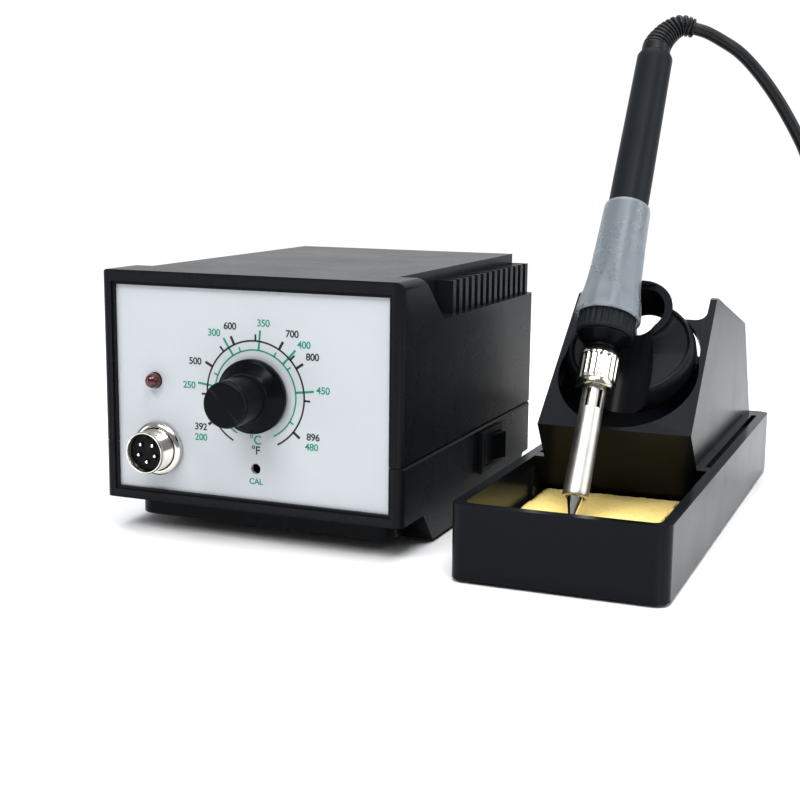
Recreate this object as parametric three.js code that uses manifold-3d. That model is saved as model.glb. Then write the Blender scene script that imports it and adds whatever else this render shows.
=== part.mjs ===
// Soldering iron station: a temperature-controlled power unit, the iron's stand with its sponge
// tray, and the iron leaning in the stand with its cord coiled beside it.
// Millimetres, +Z up, +Y towards the back of the power unit, +X towards the stand.
import * as THREE from 'three';
import { mergeVertices } from 'three/addons/utils/BufferGeometryUtils.js';
import Module from 'manifold-3d';

const wasm = await Module();
wasm.setup();

// ---- driving dimensions ----
const GAP = 0.3;

const CASE_HALF = 60;
const CASE_DEPTH = 150;
const CASE_TOP = 97.8;
const CASE_FRONT_BOTTOM = 12.5;
const CASE_UNDERSIDE = 1.2;
const PARTING = 33.7;
const CASE_WALL = 2.5;
const CASE_CORNER = 3;

const SHOULDER = 81.6;
const SHOULDER_X = 50;
const SHOULDER_FRONT = 19.8;
const SHOULDER_LOW_FRONT = 39.2;
const FIN_COUNT = 14;
const FIN_FIRST = 55.7;
const FIN_PITCH = 6.95;
const FIN_THICK = 3.4;
const FIN_OUT = 57.3;
const FIN_TOP = 94;

const PANEL_HALF = 54.7;
const PANEL_LOW = 16.8;
const PANEL_HIGH = 92.4;
const PANEL_FRONT = 2.1;
const PANEL_THICK = 1.6;
const KNOB_X = 2.2;
const KNOB_Z = 54.9;
const KNOB_FRONT = -20.5;
const LED_X = -38.9;
const LED_Z = 57.6;
const SOCKET_X = -37.5;
const SOCKET_Z = 32.4;
const SOCKET_RADIUS = 7.7;
const SOCKET_BORE = 6.9;
const PIN_CIRCLE = 3.6;
const PIN_RADIUS = 0.7;
const CAL_X = 2.4;
const CAL_Z = 28.1;

const SWITCH_Y = 93;
const SWITCH_Z = 23.8;
const ROCKER_TILT = 8;

const STAND_X = 118.2;
const STAND_HALF = 36.85;
const STAND_FRONT = -11.3;
const STAND_BACK = 208;
const STAND_RIM = 26.6;
const STAND_CORNER = 5;
const TRAY_WALL = 4;
const TRAY_FLOOR = 4.6;
const FACE_TILT = THREE.MathUtils.degToRad(42.1);
const FACE_BOTTOM = new THREE.Vector2(61.3, 41.5);
const FACE_TOP = new THREE.Vector2(110.6, 86);
const RECEPTACLE_Y = 82;
const RECEPTACLE_Z = 60.2;
const RECEPTACLE_HOLE = 26.5;
const DOME_UP = 8.5;
const DOME_RADIUS = 24.3;

const IRON_LEAN = THREE.MathUtils.degToRad(32.9);
const IRON_TIP = new THREE.Vector3(110.5, 35.8, 13.2);
const HANDLE_END = 198.3;

const CORD_RADIUS = 2.5;
const COIL_X = 230;
const COIL_Y = 150;
const COIL_MEAN = 28.6;
const COIL_HALF_WIDTH = 9.3;
const COIL_HEIGHT = 10.6;
const PLUG_X = COIL_X + 38.1;
const PLUG_Y = COIL_Y + 16;
const PLUG_Z = 9.7;

// ---- materials ----
function material(color, roughness, metalness = 0) {
  return new THREE.MeshStandardMaterial({ color, roughness, metalness });
}
const abs = () => material(0x24272b, 0.45);
const glossBlack = () => material(0x101215, 0.25);
const rubber = () => material(0x1b1d20, 0.75);
const chrome = () => material(0xd9dadc, 0.18, 1);
const steel = () => material(0xb9bcc0, 0.3, 1);
const brass = () => material(0xc79a4b, 0.3, 1);
const copper = () => material(0xb4703c, 0.4, 1);

// ---- solids: three.js geometry in, manifold booleans, three.js geometry out ----
function solid(geometry) {
  const bare = geometry.clone();
  bare.deleteAttribute('normal');
  bare.deleteAttribute('uv');
  const merged = mergeVertices(bare, 1e-4);
  const vertProperties = new Float32Array(merged.attributes.position.array);
  const triVerts = new Uint32Array(merged.index.array);
  return new wasm.Manifold(new wasm.Mesh({ numProp: 3, vertProperties, triVerts }));
}

function toGeometry(body) {
  const mesh = body.getMesh();
  const geometry = new THREE.BufferGeometry();
  geometry.setAttribute('position', new THREE.BufferAttribute(new Float32Array(mesh.vertProperties), 3));
  geometry.setIndex(new THREE.BufferAttribute(new Uint32Array(mesh.triVerts), 1));
  geometry.computeVertexNormals();
  return geometry;
}

function piece(name, body, paint) {
  const mesh = new THREE.Mesh(body.isBufferGeometry ? body : toGeometry(body), paint);
  mesh.name = name;
  return mesh;
}

function union(list) {
  return list.reduce((sum, item) => sum.add(item));
}

function boxGeometry(x0, x1, y0, y1, z0, z1) {
  const box = new THREE.BoxGeometry(x1 - x0, y1 - y0, z1 - z0);
  return box.translate((x0 + x1) / 2, (y0 + y1) / 2, (z0 + z1) / 2);
}

function box(x0, x1, y0, y1, z0, z1) {
  return solid(boxGeometry(x0, x1, y0, y1, z0, z1));
}

// A cone or cylinder whose axis starts at `from` and runs `length` along the axis letter.
function rodGeometry(axis, from, length, r0, r1 = r0, sides = 24) {
  const rod = new THREE.CylinderGeometry(r1, r0, length, sides);
  rod.translate(0, length / 2, 0);
  if (axis === 'x') rod.rotateZ(-Math.PI / 2);
  if (axis === 'z') rod.rotateX(Math.PI / 2);
  return rod.translate(...from);
}

function rod(axis, from, length, r0, r1, sides) {
  return solid(rodGeometry(axis, from, length, r0, r1, sides));
}

// A turned solid: profile points are (radius, height) and start and end on the axis.
function turned(points, axis, at, sides = 28) {
  const profile = points.map(([r, h]) => new THREE.Vector2(r, h));
  const shape = new THREE.LatheGeometry(profile, sides);
  if (axis === 'z') shape.rotateX(Math.PI / 2);
  if (axis === 'x') shape.rotateZ(-Math.PI / 2);
  return solid(shape.translate(...at));
}

// A polygon in the YZ plane, extruded along X from x0 to x1.
function prismX(points, x0, x1) {
  const shape = new THREE.Shape(points.map(([y, z]) => new THREE.Vector2(y, z)));
  const geometry = new THREE.ExtrudeGeometry(shape, { depth: x1 - x0, bevelEnabled: false });
  geometry.applyMatrix4(new THREE.Matrix4().makeBasis(
    new THREE.Vector3(0, 1, 0), new THREE.Vector3(0, 0, 1), new THREE.Vector3(1, 0, 0)));
  return solid(geometry.translate(x0, 0, 0));
}

// A polygon or shape in the XZ plane, extruded along Y from y0 to y1.
function prismY(shape, y0, y1, curveSegments = 6) {
  const geometry = new THREE.ExtrudeGeometry(shape, { depth: y1 - y0, bevelEnabled: false, curveSegments });
  geometry.rotateX(Math.PI / 2);
  return solid(geometry.translate(0, y1, 0));
}

function prismZ(shape, z0, z1, curveSegments = 6) {
  const geometry = new THREE.ExtrudeGeometry(shape, { depth: z1 - z0, bevelEnabled: false, curveSegments });
  return solid(geometry.translate(0, 0, z0));
}

function polygon(points) {
  return new THREE.Shape(points.map(([a, b]) => new THREE.Vector2(a, b)));
}

function roundedRect(a0, a1, b0, b1, radius) {
  const shape = new THREE.Shape();
  shape.moveTo(a0 + radius, b0);
  shape.lineTo(a1 - radius, b0);
  shape.absarc(a1 - radius, b0 + radius, radius, -Math.PI / 2, 0);
  shape.lineTo(a1, b1 - radius);
  shape.absarc(a1 - radius, b1 - radius, radius, 0, Math.PI / 2);
  shape.lineTo(a0 + radius, b1);
  shape.absarc(a0 + radius, b1 - radius, radius, Math.PI / 2, Math.PI);
  shape.lineTo(a0, b0 + radius);
  shape.absarc(a0 + radius, b0 + radius, radius, Math.PI, 1.5 * Math.PI);
  return shape;
}

const SIDES = [-1, 1];

// ---- power unit: case ----
// The four case screws stand at these places, in bosses against the side walls.
const SCREW_X = 53;
const SCREW_YS = [42, 120];
const BOSS_RADIUS = 4.6;
const SCREW_RADIUS = 1.5;

function screwPlaces() {
  return SCREW_YS.flatMap((y) => SIDES.map((side) => [side * SCREW_X, y]));
}

function caseOutline(radius) {
  return roundedRect(-CASE_HALF, CASE_HALF, 0, CASE_DEPTH, radius);
}

// Front opening: a stepped aperture that frames the panel.
function frontAperture() {
  const inner = box(-PANEL_HALF, PANEL_HALF, -1, 5, PANEL_LOW, PANEL_HIGH);
  const step = box(-PANEL_HALF - 1.1, PANEL_HALF + 1.1, -1, 0.8, PANEL_LOW - 1.1, PANEL_HIGH + 1.1);
  return inner.add(step);
}

const REAR_HALF = 44.5;
const REAR_LOW = 17;
const REAR_HIGH = 88;

function rearAperture() {
  return box(-REAR_HALF, REAR_HALF, CASE_DEPTH - 5, CASE_DEPTH + 1, REAR_LOW, REAR_HIGH);
}

function finBlade(side, index) {
  const y = FIN_FIRST + index * FIN_PITCH;
  const inner = side * (SHOULDER_X - 0.5);
  const outer = side * FIN_OUT;
  return box(Math.min(inner, outer), Math.max(inner, outer), y, y + FIN_THICK, SHOULDER - 0.5, FIN_TOP);
}

// A vent slot through the inner wall of the shoulder, between two fins.
function ventSlot(side, index) {
  const y = FIN_FIRST + index * FIN_PITCH + FIN_THICK + 0.5;
  const inner = side * (SHOULDER_X - CASE_WALL - 1);
  const outer = side * (SHOULDER_X + 0.6);
  const length = FIN_PITCH - FIN_THICK - 1;
  return box(Math.min(inner, outer), Math.max(inner, outer), y, y + length, SHOULDER + 1.6, FIN_TOP - 2);
}

function shoulderCut(side) {
  const outline = [
    [SHOULDER_FRONT, CASE_TOP],
    [SHOULDER_LOW_FRONT, SHOULDER],
    [CASE_DEPTH + 1, SHOULDER],
    [CASE_DEPTH + 1, CASE_TOP + 5],
    [SHOULDER_FRONT - 5.5, CASE_TOP + 5],
  ];
  const x0 = side > 0 ? SHOULDER_X : -CASE_HALF - 5;
  return prismX(outline, x0, x0 + CASE_HALF + 5 - SHOULDER_X);
}

function upperShell() {
  const chamfer = 0.8;
  const front = new THREE.Shape();
  front.moveTo(-CASE_HALF + chamfer, PARTING + 0.15);
  front.lineTo(CASE_HALF - chamfer, PARTING + 0.15);
  front.lineTo(CASE_HALF, PARTING + 0.15 + chamfer);
  front.lineTo(CASE_HALF, CASE_TOP - CASE_CORNER);
  front.absarc(CASE_HALF - CASE_CORNER, CASE_TOP - CASE_CORNER, CASE_CORNER, 0, Math.PI / 2);
  front.lineTo(-CASE_HALF + CASE_CORNER, CASE_TOP);
  front.absarc(-CASE_HALF + CASE_CORNER, CASE_TOP - CASE_CORNER, CASE_CORNER, Math.PI / 2, Math.PI);
  front.lineTo(-CASE_HALF, PARTING + 0.15 + chamfer);
  let body = prismY(front, 0, CASE_DEPTH).intersect(prismZ(caseOutline(CASE_CORNER), PARTING, CASE_TOP));
  const inside = CASE_HALF - CASE_WALL;
  body = body.subtract(box(-inside, inside, 1.9, CASE_DEPTH - 1.9, PARTING - 5, SHOULDER - CASE_WALL));
  const narrow = SHOULDER_X - CASE_WALL;
  const ceiling = CASE_TOP - CASE_WALL;
  body = body.subtract(box(-narrow, narrow, 1.9, CASE_DEPTH - 1.9, SHOULDER - 4, ceiling));
  body = body.subtract(box(-inside, inside, 1.9, SHOULDER_FRONT - 3, SHOULDER - 4, ceiling));
  for (const side of SIDES) {
    body = body.subtract(shoulderCut(side));
    for (let i = 0; i < FIN_COUNT; i += 1) body = body.add(finBlade(side, i));
    for (let i = 0; i < FIN_COUNT - 1; i += 1) body = body.subtract(ventSlot(side, i));
  }
  body = body.subtract(frontAperture()).subtract(rearAperture());
  for (const [x, y] of screwPlaces()) {
    const boss = rod('z', [x, y, PARTING + 0.5], 22, BOSS_RADIUS, BOSS_RADIUS, 20);
    const bore = rod('z', [x, y, PARTING - 1], 18, SCREW_RADIUS + GAP, SCREW_RADIUS + GAP, 16);
    body = body.add(boss).subtract(bore);
  }
  // Ceiling ribs that hold the panels from behind.
  const frontRib = PANEL_FRONT + PANEL_THICK + GAP;
  body = body.add(box(-40, 40, frontRib, frontRib + 2, ceiling - 3.5, ceiling + 1));
  body = body.add(box(-40, 40, CASE_DEPTH - frontRib - 2, CASE_DEPTH - frontRib, ceiling - 5, ceiling + 1));
  return piece('upper_shell', body, abs());
}

function lowerBase() {
  const chamfer = 0.8;
  const front = polygon([
    [-CASE_HALF, CASE_FRONT_BOTTOM], [CASE_HALF, CASE_FRONT_BOTTOM],
    [CASE_HALF, PARTING - 0.15 - chamfer], [CASE_HALF - chamfer, PARTING - 0.15],
    [-CASE_HALF + chamfer, PARTING - 0.15], [-CASE_HALF, PARTING - 0.15 - chamfer],
  ]);
  const upright = prismY(front, 0, CASE_DEPTH);
  const rim = upright.intersect(prismZ(caseOutline(CASE_CORNER), CASE_FRONT_BOTTOM, PARTING));
  // The pan hangs below the rim with sloping ends, and a narrower bar closes its front.
  const pan = prismX([
    [20, CASE_FRONT_BOTTOM + 1], [31, CASE_UNDERSIDE], [CASE_DEPTH - 20, CASE_UNDERSIDE],
    [CASE_DEPTH - 9, CASE_FRONT_BOTTOM + 1],
  ], -CASE_HALF, CASE_HALF);
  const bar = prismZ(roundedRect(-52, 52, 9, 60, 7), 5, CASE_FRONT_BOTTOM + 1);
  let body = union([rim, pan, bar]);
  const inside = CASE_HALF - CASE_WALL;
  body = body.subtract(box(-inside, inside, 1.9, CASE_DEPTH - 1.9, CASE_FRONT_BOTTOM + CASE_WALL, PARTING + 1));
  const floorTop = CASE_UNDERSIDE + CASE_WALL;
  body = body.subtract(prismX([
    [23, CASE_FRONT_BOTTOM + 3], [33, floorTop], [CASE_DEPTH - 22, floorTop],
    [CASE_DEPTH - 12, CASE_FRONT_BOTTOM + 3],
  ], -inside, inside));
  body = body.subtract(frontAperture()).subtract(rearAperture());
  for (const [x, y] of screwPlaces()) {
    body = body.add(rod('z', [x, y, floorTop - 1], PARTING - 0.5 - floorTop + 1, BOSS_RADIUS, BOSS_RADIUS, 20));
    body = body.subtract(rod('z', [x, y, 0], PARTING, SCREW_RADIUS + GAP, SCREW_RADIUS + GAP, 16));
    body = body.subtract(rod('z', [x, y, 0], 5, 3.3, 3.3, 20));
  }
  for (const [x, y] of footPlaces()) body = body.subtract(rod('z', [x, y, 0], FOOT_TOP + GAP, FOOT_RADIUS + GAP));
  // Switch opening in the right-hand wall.
  const hole = SWITCH_BODY_HALF + GAP;
  body = body.subtract(box(55, 61, SWITCH_Y - hole, SWITCH_Y + hole, SWITCH_Z - 7.3, SWITCH_Z + 7.3));
  // Ribs behind the two panels, and posts under the transformer's feet.
  const frontRib = PANEL_FRONT + PANEL_THICK + GAP;
  const deck = CASE_FRONT_BOTTOM + CASE_WALL;
  body = body.add(box(-50, 50, frontRib, frontRib + 2, deck - 1, deck + 4));
  body = body.add(box(-42, 42, CASE_DEPTH - frontRib - 2, CASE_DEPTH - frontRib, deck - 1, deck + 5));
  for (const side of SIDES) {
    const x = TRANSFORMER_X + side * (TRANSFORMER_HALF + 6);
    body = body.add(box(x - 4, x + 4, TRANSFORMER_Y - 9, TRANSFORMER_Y + 9, floorTop - 1, POST_TOP));
  }
  return piece('lower_base', body, abs());
}

const FOOT_RADIUS = 6;
const FOOT_TOP = 2.1;

function footPlaces() {
  return [40, 120].flatMap((y) => SIDES.map((side) => [side * 40, y]));
}

function rubberFoot(name, x, y) {
  const profile = [[0, 0], [5.2, 0], [FOOT_RADIUS, 0.9], [FOOT_RADIUS, FOOT_TOP], [0, FOOT_TOP]];
  return piece(name, turned(profile, 'z', [x, y, 0], 24), rubber());
}

function caseScrew(name, x, y) {
  const profile = [[0, 2.2], [3, 2.2], [3, 4.6], [SCREW_RADIUS, 4.6], [SCREW_RADIUS, 48], [0, 49]];
  const cross = box(x - 1.8, x + 1.8, y - 0.4, y + 0.4, 1, 3.3)
    .add(box(x - 0.4, x + 0.4, y - 1.8, y + 1.8, 1, 3.3));
  return piece(name, turned(profile, 'z', [x, y, 0], 16).subtract(cross), steel());
}

// ---- power unit: panels ----
function frontPanel() {
  const back = PANEL_FRONT + PANEL_THICK;
  let plate = box(-PANEL_HALF - 1.6, PANEL_HALF + 1.6, PANEL_FRONT, back, PANEL_LOW - 1.6, PANEL_HIGH + 1.6);
  const hole = (x, z, r) => rod('y', [x, PANEL_FRONT - 1, z], PANEL_THICK + 2, r, r, 24);
  plate = plate.subtract(hole(KNOB_X, KNOB_Z, 4));
  plate = plate.subtract(hole(LED_X, LED_Z, 3));
  plate = plate.subtract(hole(SOCKET_X, SOCKET_Z, SOCKET_RADIUS + GAP));
  plate = plate.subtract(hole(CAL_X, CAL_Z, 1.9));
  return piece('front_panel', plate, material(0xd7dce2, 0.5));
}

const INLET_X = -20;
const INLET_Z = 38;
const FUSE_X = 22;
const FUSE_Z = 38;
const REAR_FACE = CASE_DEPTH - PANEL_FRONT;

function rearPanel() {
  const front = REAR_FACE - PANEL_THICK;
  let plate = box(-REAR_HALF - 1.6, REAR_HALF + 1.6, front, REAR_FACE, REAR_LOW - 1.6, REAR_HIGH + 1.6);
  plate = plate.subtract(box(INLET_X - 12.3, INLET_X + 12.3, front - 1, REAR_FACE + 1, INLET_Z - 8.6, INLET_Z + 8.6));
  plate = plate.subtract(rod('y', [FUSE_X, front - 1, FUSE_Z], PANEL_THICK + 2, 6.3));
  // Vent louvres above the inlet.
  for (let row = 0; row < 4; row += 1) {
    const z = 60 + row * 6;
    plate = plate.subtract(box(-30, 30, front - 1, REAR_FACE + 1, z, z + 2.4));
  }
  return piece('rear_panel', plate, abs());
}

function mainsInlet() {
  const flange = prismY(roundedRect(INLET_X - 15, INLET_X + 15, INLET_Z - 11, INLET_Z + 11, 3),
    REAR_FACE + GAP, REAR_FACE + 2.6, 3);
  const back = REAR_FACE - 20;
  let body = flange.add(box(INLET_X - 12, INLET_X + 12, back, REAR_FACE + 1, INLET_Z - 8.3, INLET_Z + 8.3));
  const mouth = polygon([
    [INLET_X - 11, INLET_Z - 7.3], [INLET_X + 11, INLET_Z - 7.3], [INLET_X + 11, INLET_Z + 3.6],
    [INLET_X + 7.3, INLET_Z + 7.3], [INLET_X - 7.3, INLET_Z + 7.3], [INLET_X - 11, INLET_Z + 3.6],
  ]);
  body = body.subtract(prismY(mouth, back + 3, REAR_FACE + 5));
  for (const [dx, dz] of [[-7, -1.5], [7, -1.5], [0, 2.6]]) {
    const x = INLET_X + dx;
    const z = INLET_Z + dz;
    body = body.add(box(x - 1, x + 1, back - 5, REAR_FACE - 3, z - 2, z + 2));
  }
  return piece('mains_inlet', body, glossBlack());
}

function fuseHolder() {
  const outer = turned([[0, -26], [6, -26], [6, GAP], [7.4, GAP], [7.4, 2.4], [0, 2.4]],
    'y', [FUSE_X, REAR_FACE, FUSE_Z], 28);
  const bore = rod('y', [FUSE_X, REAR_FACE - 23, FUSE_Z], 40, 4, 4, 24);
  return piece('fuse_holder', outer.subtract(bore), glossBlack());
}

function fuseCap() {
  const profile = [[0, -8], [3.6, -8], [3.6, 2.9], [5.6, 2.9], [5.6, 7.2], [5, 7.8], [0, 7.8]];
  const cap = turned(profile, 'y', [FUSE_X, REAR_FACE, FUSE_Z], 28);
  const slot = box(FUSE_X - 4.4, FUSE_X + 4.4, REAR_FACE + 6.4, REAR_FACE + 9, FUSE_Z - 0.6, FUSE_Z + 0.6);
  return piece('fuse_cap', cap.subtract(slot), glossBlack());
}

// ---- power unit: front controls ----
// The knob is a skirted disc with a turned cap; a hollow in its back covers the nut.
function temperatureKnob() {
  const skirtBack = PANEL_FRONT - 0.7;
  const length = skirtBack - KNOB_FRONT;
  const profile = [
    [0, 0], [12.6, 0], [13.4, 0.8], [13.4, 2.6], [12.4, 3.4], [9.6, 6.4], [8.8, 6.8], [8.8, 7.6],
    [8.4, length - 2], [0, length - 2],
  ];
  let body = turned(profile, 'y', [0, 0, 0], 36);
  body = body.subtract(rod('y', [0, -1, 0], 5, 7.2, 7.2, 32));
  body = body.subtract(rod('y', [0, -1, 0], 13, 3.2, 3.2, 20));
  body = body.subtract(rod('y', [0, length - 3.6, 0], 3, 5.3, 5.3, 24));
  const mesh = piece('temperature_knob', body, glossBlack());
  mesh.rotation.z = Math.PI;
  mesh.position.set(KNOB_X, skirtBack, KNOB_Z);
  return mesh;
}

function knobCap() {
  const profile = [[0, -1.5], [5, -1.5], [5, GAP], [8.2, GAP], [8.2, 1.3], [7.6, 2], [0, 2]];
  const mesh = piece('knob_cap', turned(profile, 'y', [0, 0, 0], 28), glossBlack());
  mesh.rotation.z = Math.PI;
  mesh.position.set(KNOB_X, KNOB_FRONT + 2, KNOB_Z);
  return mesh;
}

const POT_BACK = 17.5;

function potentiometer() {
  const body = turned([[0, 8.6], [8.2, 8.6], [8.2, POT_BACK], [0, POT_BACK]], 'y', [0, 0, 0], 32);
  const bushing = turned([[0, 1], [3.5, 1], [3.5, 9], [0, 9]], 'y', [0, 0, 0], 24);
  const bore = turned([[0, -1], [3.25, -1], [3.25, 11.3], [0, 11.3]], 'y', [0, 0, 0], 24);
  const lugs = box(-6, 6, 11, 12.6, -14, -6);
  const mesh = piece('potentiometer_body', union([body, bushing, lugs]).subtract(bore), steel());
  mesh.position.set(KNOB_X, 0, KNOB_Z);
  return mesh;
}

function potentiometerShaft() {
  const mesh = piece('potentiometer_shaft',
    turned([[0, -10.5], [2.7, -10.5], [3, -10], [3, 11], [0, 11]], 'y', [0, 0, 0], 24), chrome());
  mesh.position.set(KNOB_X, 0, KNOB_Z);
  return mesh;
}

function potentiometerNut() {
  const ring = rod('y', [0, 0, 0], 2, 5.8, 5.8, 6).subtract(rod('y', [0, -1, 0], 4, 3.8, 3.8, 24));
  const mesh = piece('potentiometer_nut', ring, chrome());
  mesh.position.set(KNOB_X, PANEL_FRONT - GAP - 2, KNOB_Z);
  return mesh;
}

function ledLens() {
  const profile = [
    [0, -8], [2.9, -8], [2.9, -1.2], [2.7, -1.2], [2.7, 2], [2.55, 3], [1.9, 4], [1, 4.5], [0, 4.6],
  ];
  const lens = piece('led_lens', turned(profile, 'y', [0, 0, 0], 24), material(0x6e1018, 0.15));
  lens.rotation.z = Math.PI;
  lens.position.set(LED_X, PANEL_FRONT, LED_Z);
  return lens;
}

// Round five-pin socket: threaded chrome shell, black insert, five pins and a fixing nut.
const SOCKET_OUT = 11;

function socketShell() {
  const front = PANEL_FRONT - SOCKET_OUT;
  const outer = SOCKET_RADIUS;
  let profile = [[0, front], [outer - 0.2, front], [outer, front + 0.4]];
  for (let y = front + 1.4; y < PANEL_FRONT - 4; y += 1.3) profile.push([outer, y], [outer - 0.35, y + 0.45]);
  profile = profile.concat([[outer - 0.1, PANEL_FRONT - 3], [outer - 0.1, 14], [0, 14]]);
  let body = turned(profile, 'y', [0, 0, 0], 28);
  body = body.subtract(rod('y', [0, front - 1, 0], 30, SOCKET_BORE, SOCKET_BORE, 28));
  const mesh = piece('socket_shell', body, chrome());
  mesh.position.set(SOCKET_X, 0, SOCKET_Z);
  return mesh;
}

function socketNut() {
  const profile = [[0, 0], [9.9, 0], [9.9, 2.2], [9.1, 3], [0, 3]];
  const bore = SOCKET_RADIUS + GAP;
  const ring = turned(profile, 'y', [0, 0, 0], 36).subtract(rod('y', [0, -1, 0], 6, bore, bore, 28));
  const mesh = piece('socket_nut', ring, chrome());
  mesh.rotation.z = Math.PI;
  mesh.position.set(SOCKET_X, PANEL_FRONT - GAP, SOCKET_Z);
  return mesh;
}

function pinPlaces() {
  const places = [];
  for (const degrees of [133, 200, 270, 340, 47]) {
    const angle = THREE.MathUtils.degToRad(degrees);
    places.push([PIN_CIRCLE * Math.cos(angle), PIN_CIRCLE * Math.sin(angle)]);
  }
  return places;
}

function socketInsert() {
  const front = PANEL_FRONT - SOCKET_OUT + 2.6;
  const radius = SOCKET_BORE - GAP;
  const pinHole = PIN_RADIUS + GAP;
  let body = rod('y', [0, front, 0], 14, radius, radius, 28);
  body = body.add(box(-0.9, 0.9, front - 2, front + 1, 5.2, 6.4));
  for (const [x, z] of pinPlaces()) body = body.subtract(rod('y', [x, front - 1, z], 20, pinHole, pinHole, 10));
  const mesh = piece('socket_insert', body, glossBlack());
  mesh.position.set(SOCKET_X, 0, SOCKET_Z);
  return mesh;
}

function socketPin(index, place) {
  const front = PANEL_FRONT - SOCKET_OUT + 1.4;
  const profile = [[0, front], [0.35, front + 0.1], [PIN_RADIUS, front + 0.6], [PIN_RADIUS, 13], [0, 13]];
  const mesh = piece(`socket_pin_${index + 1}`, turned(profile, 'y', [0, 0, 0], 10), chrome());
  mesh.position.set(SOCKET_X + place[0], 0, SOCKET_Z + place[1]);
  return mesh;
}

// ---- power unit: electronics ----
const BOARD_FRONT = 19;
const BOARD_THICK = 1.6;

function circuitBoard() {
  let plate = box(-46, 46, BOARD_FRONT, BOARD_FRONT + BOARD_THICK, 21, 82);
  for (const [x, z] of [[-42, 25], [42, 25], [-42, 78], [42, 78]]) {
    plate = plate.subtract(rod('y', [x, BOARD_FRONT - 1, z], 4, 1.6, 1.6, 12));
  }
  // Two rows of packaged parts, moulded on the board's back.
  for (let i = 0; i < 3; i += 1) {
    const x = -34 + i * 16;
    plate = plate.add(box(x, x + 10, BOARD_FRONT + 1, BOARD_FRONT + 5, 66, 73));
  }
  return piece('circuit_board', plate, material(0x1d5a38, 0.5));
}

function calTrimmer() {
  const body = box(CAL_X - 4.8, CAL_X + 4.8, 13.6, BOARD_FRONT - GAP, CAL_Z - 4.8, CAL_Z + 4.8);
  return piece('cal_trimmer', body.subtract(rod('y', [CAL_X, 12, CAL_Z], 4, 1.9, 1.9, 20)), material(0x2b5fa8, 0.5));
}

function calScrew() {
  const disc = rod('y', [0, 12.6, 0], 3, 1.6, 1.6, 20);
  const slot = box(-1.3, 1.3, 12, 13.3, -0.3, 0.3);
  const mesh = piece('cal_trimmer_screw', disc.subtract(slot), brass());
  mesh.position.set(CAL_X, 0, CAL_Z);
  return mesh;
}

function heatSink() {
  const back = BOARD_FRONT + BOARD_THICK + GAP;
  let body = box(22, 42, back, back + 2, 34, 60);
  for (let i = 0; i < 5; i += 1) {
    const x = 22.4 + i * 4.55;
    body = body.add(box(x, x + 1.2, back + 1, back + 14, 34, 60));
  }
  return piece('heat_sink', body, material(0x9a9ea3, 0.5, 0.8));
}

function filterCapacitor() {
  const start = BOARD_FRONT + BOARD_THICK + GAP;
  const profile = [[0, 0], [7.8, 0], [8, 0.6], [8, 2], [7.5, 2.6], [8, 3.2], [8, 24.6], [7.4, 25.2], [0, 25.2]];
  return piece('filter_capacitor', turned(profile, 'y', [-18, start, 44], 28), material(0x23346b, 0.4));
}

const TRANSFORMER_X = -16;
const TRANSFORMER_Y = 92;
const TRANSFORMER_HALF = 28;
const POST_TOP = 17;
const CORE_LOW = 19.2;
const CORE_HIGH = CORE_LOW + 47;
const CORE_HALF_THICK = 12;

function coreWindow(side) {
  const near = TRANSFORMER_X + side * 9.5;
  const far = TRANSFORMER_X + side * 19;
  return box(Math.min(near, far), Math.max(near, far), TRANSFORMER_Y - 20, TRANSFORMER_Y + 20,
    CORE_LOW + 9.5, CORE_HIGH - 9.5);
}

function transformerCore() {
  const left = TRANSFORMER_X - TRANSFORMER_HALF + 0.3;
  const right = TRANSFORMER_X + TRANSFORMER_HALF - 0.3;
  let body = box(left, right, TRANSFORMER_Y - CORE_HALF_THICK, TRANSFORMER_Y + CORE_HALF_THICK, CORE_LOW, CORE_HIGH);
  for (const side of SIDES) body = body.subtract(coreWindow(side));
  return piece('transformer_core', body, material(0x5d6064, 0.5, 0.7));
}

// Bobbin with its winding: a box ring around the centre leg, wider than the core is thick.
function transformerBobbin() {
  const low = CORE_LOW + 9.5 + GAP;
  const high = CORE_HIGH - 9.5 - GAP;
  const x = TRANSFORMER_X;
  const y = TRANSFORMER_Y;
  let body = box(x - 17.5, x + 17.5, y - 20.5, y + 20.5, low + 1.2, high - 1.2);
  body = body.add(box(x - 18.6, x + 18.6, y - 22, y + 22, low, low + 1.6));
  body = body.add(box(x - 18.6, x + 18.6, y - 22, y + 22, high - 1.6, high));
  const leg = CORE_HALF_THICK + GAP;
  body = body.subtract(box(x - 9.8, x + 9.8, y - leg, y + leg, CORE_LOW, CORE_HIGH));
  return piece('transformer_bobbin', body, material(0xc9a548, 0.55));
}

// Strap over the core with a foot on each post.
function transformerFrame() {
  const out = TRANSFORMER_HALF + 1.4;
  const y0 = TRANSFORMER_Y - 8;
  const y1 = TRANSFORMER_Y + 8;
  const low = POST_TOP + GAP;
  const x = TRANSFORMER_X;
  let body = box(x - out, x + out, y0, y1, CORE_HIGH + GAP, CORE_HIGH + 1.8);
  for (const side of SIDES) {
    const a = x + side * (TRANSFORMER_HALF);
    const b = x + side * out;
    const c = x + side * (out + 8.5);
    body = body.add(box(Math.min(a, b), Math.max(a, b), y0, y1, low, CORE_HIGH + 1.8));
    body = body.add(box(Math.min(a, c), Math.max(a, c), y0, y1, low, low + 1.4));
  }
  return piece('transformer_frame', body, steel());
}

// ---- power unit: rocker switch in the right-hand wall ----
const SWITCH_BODY_HALF = 11.6;

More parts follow.
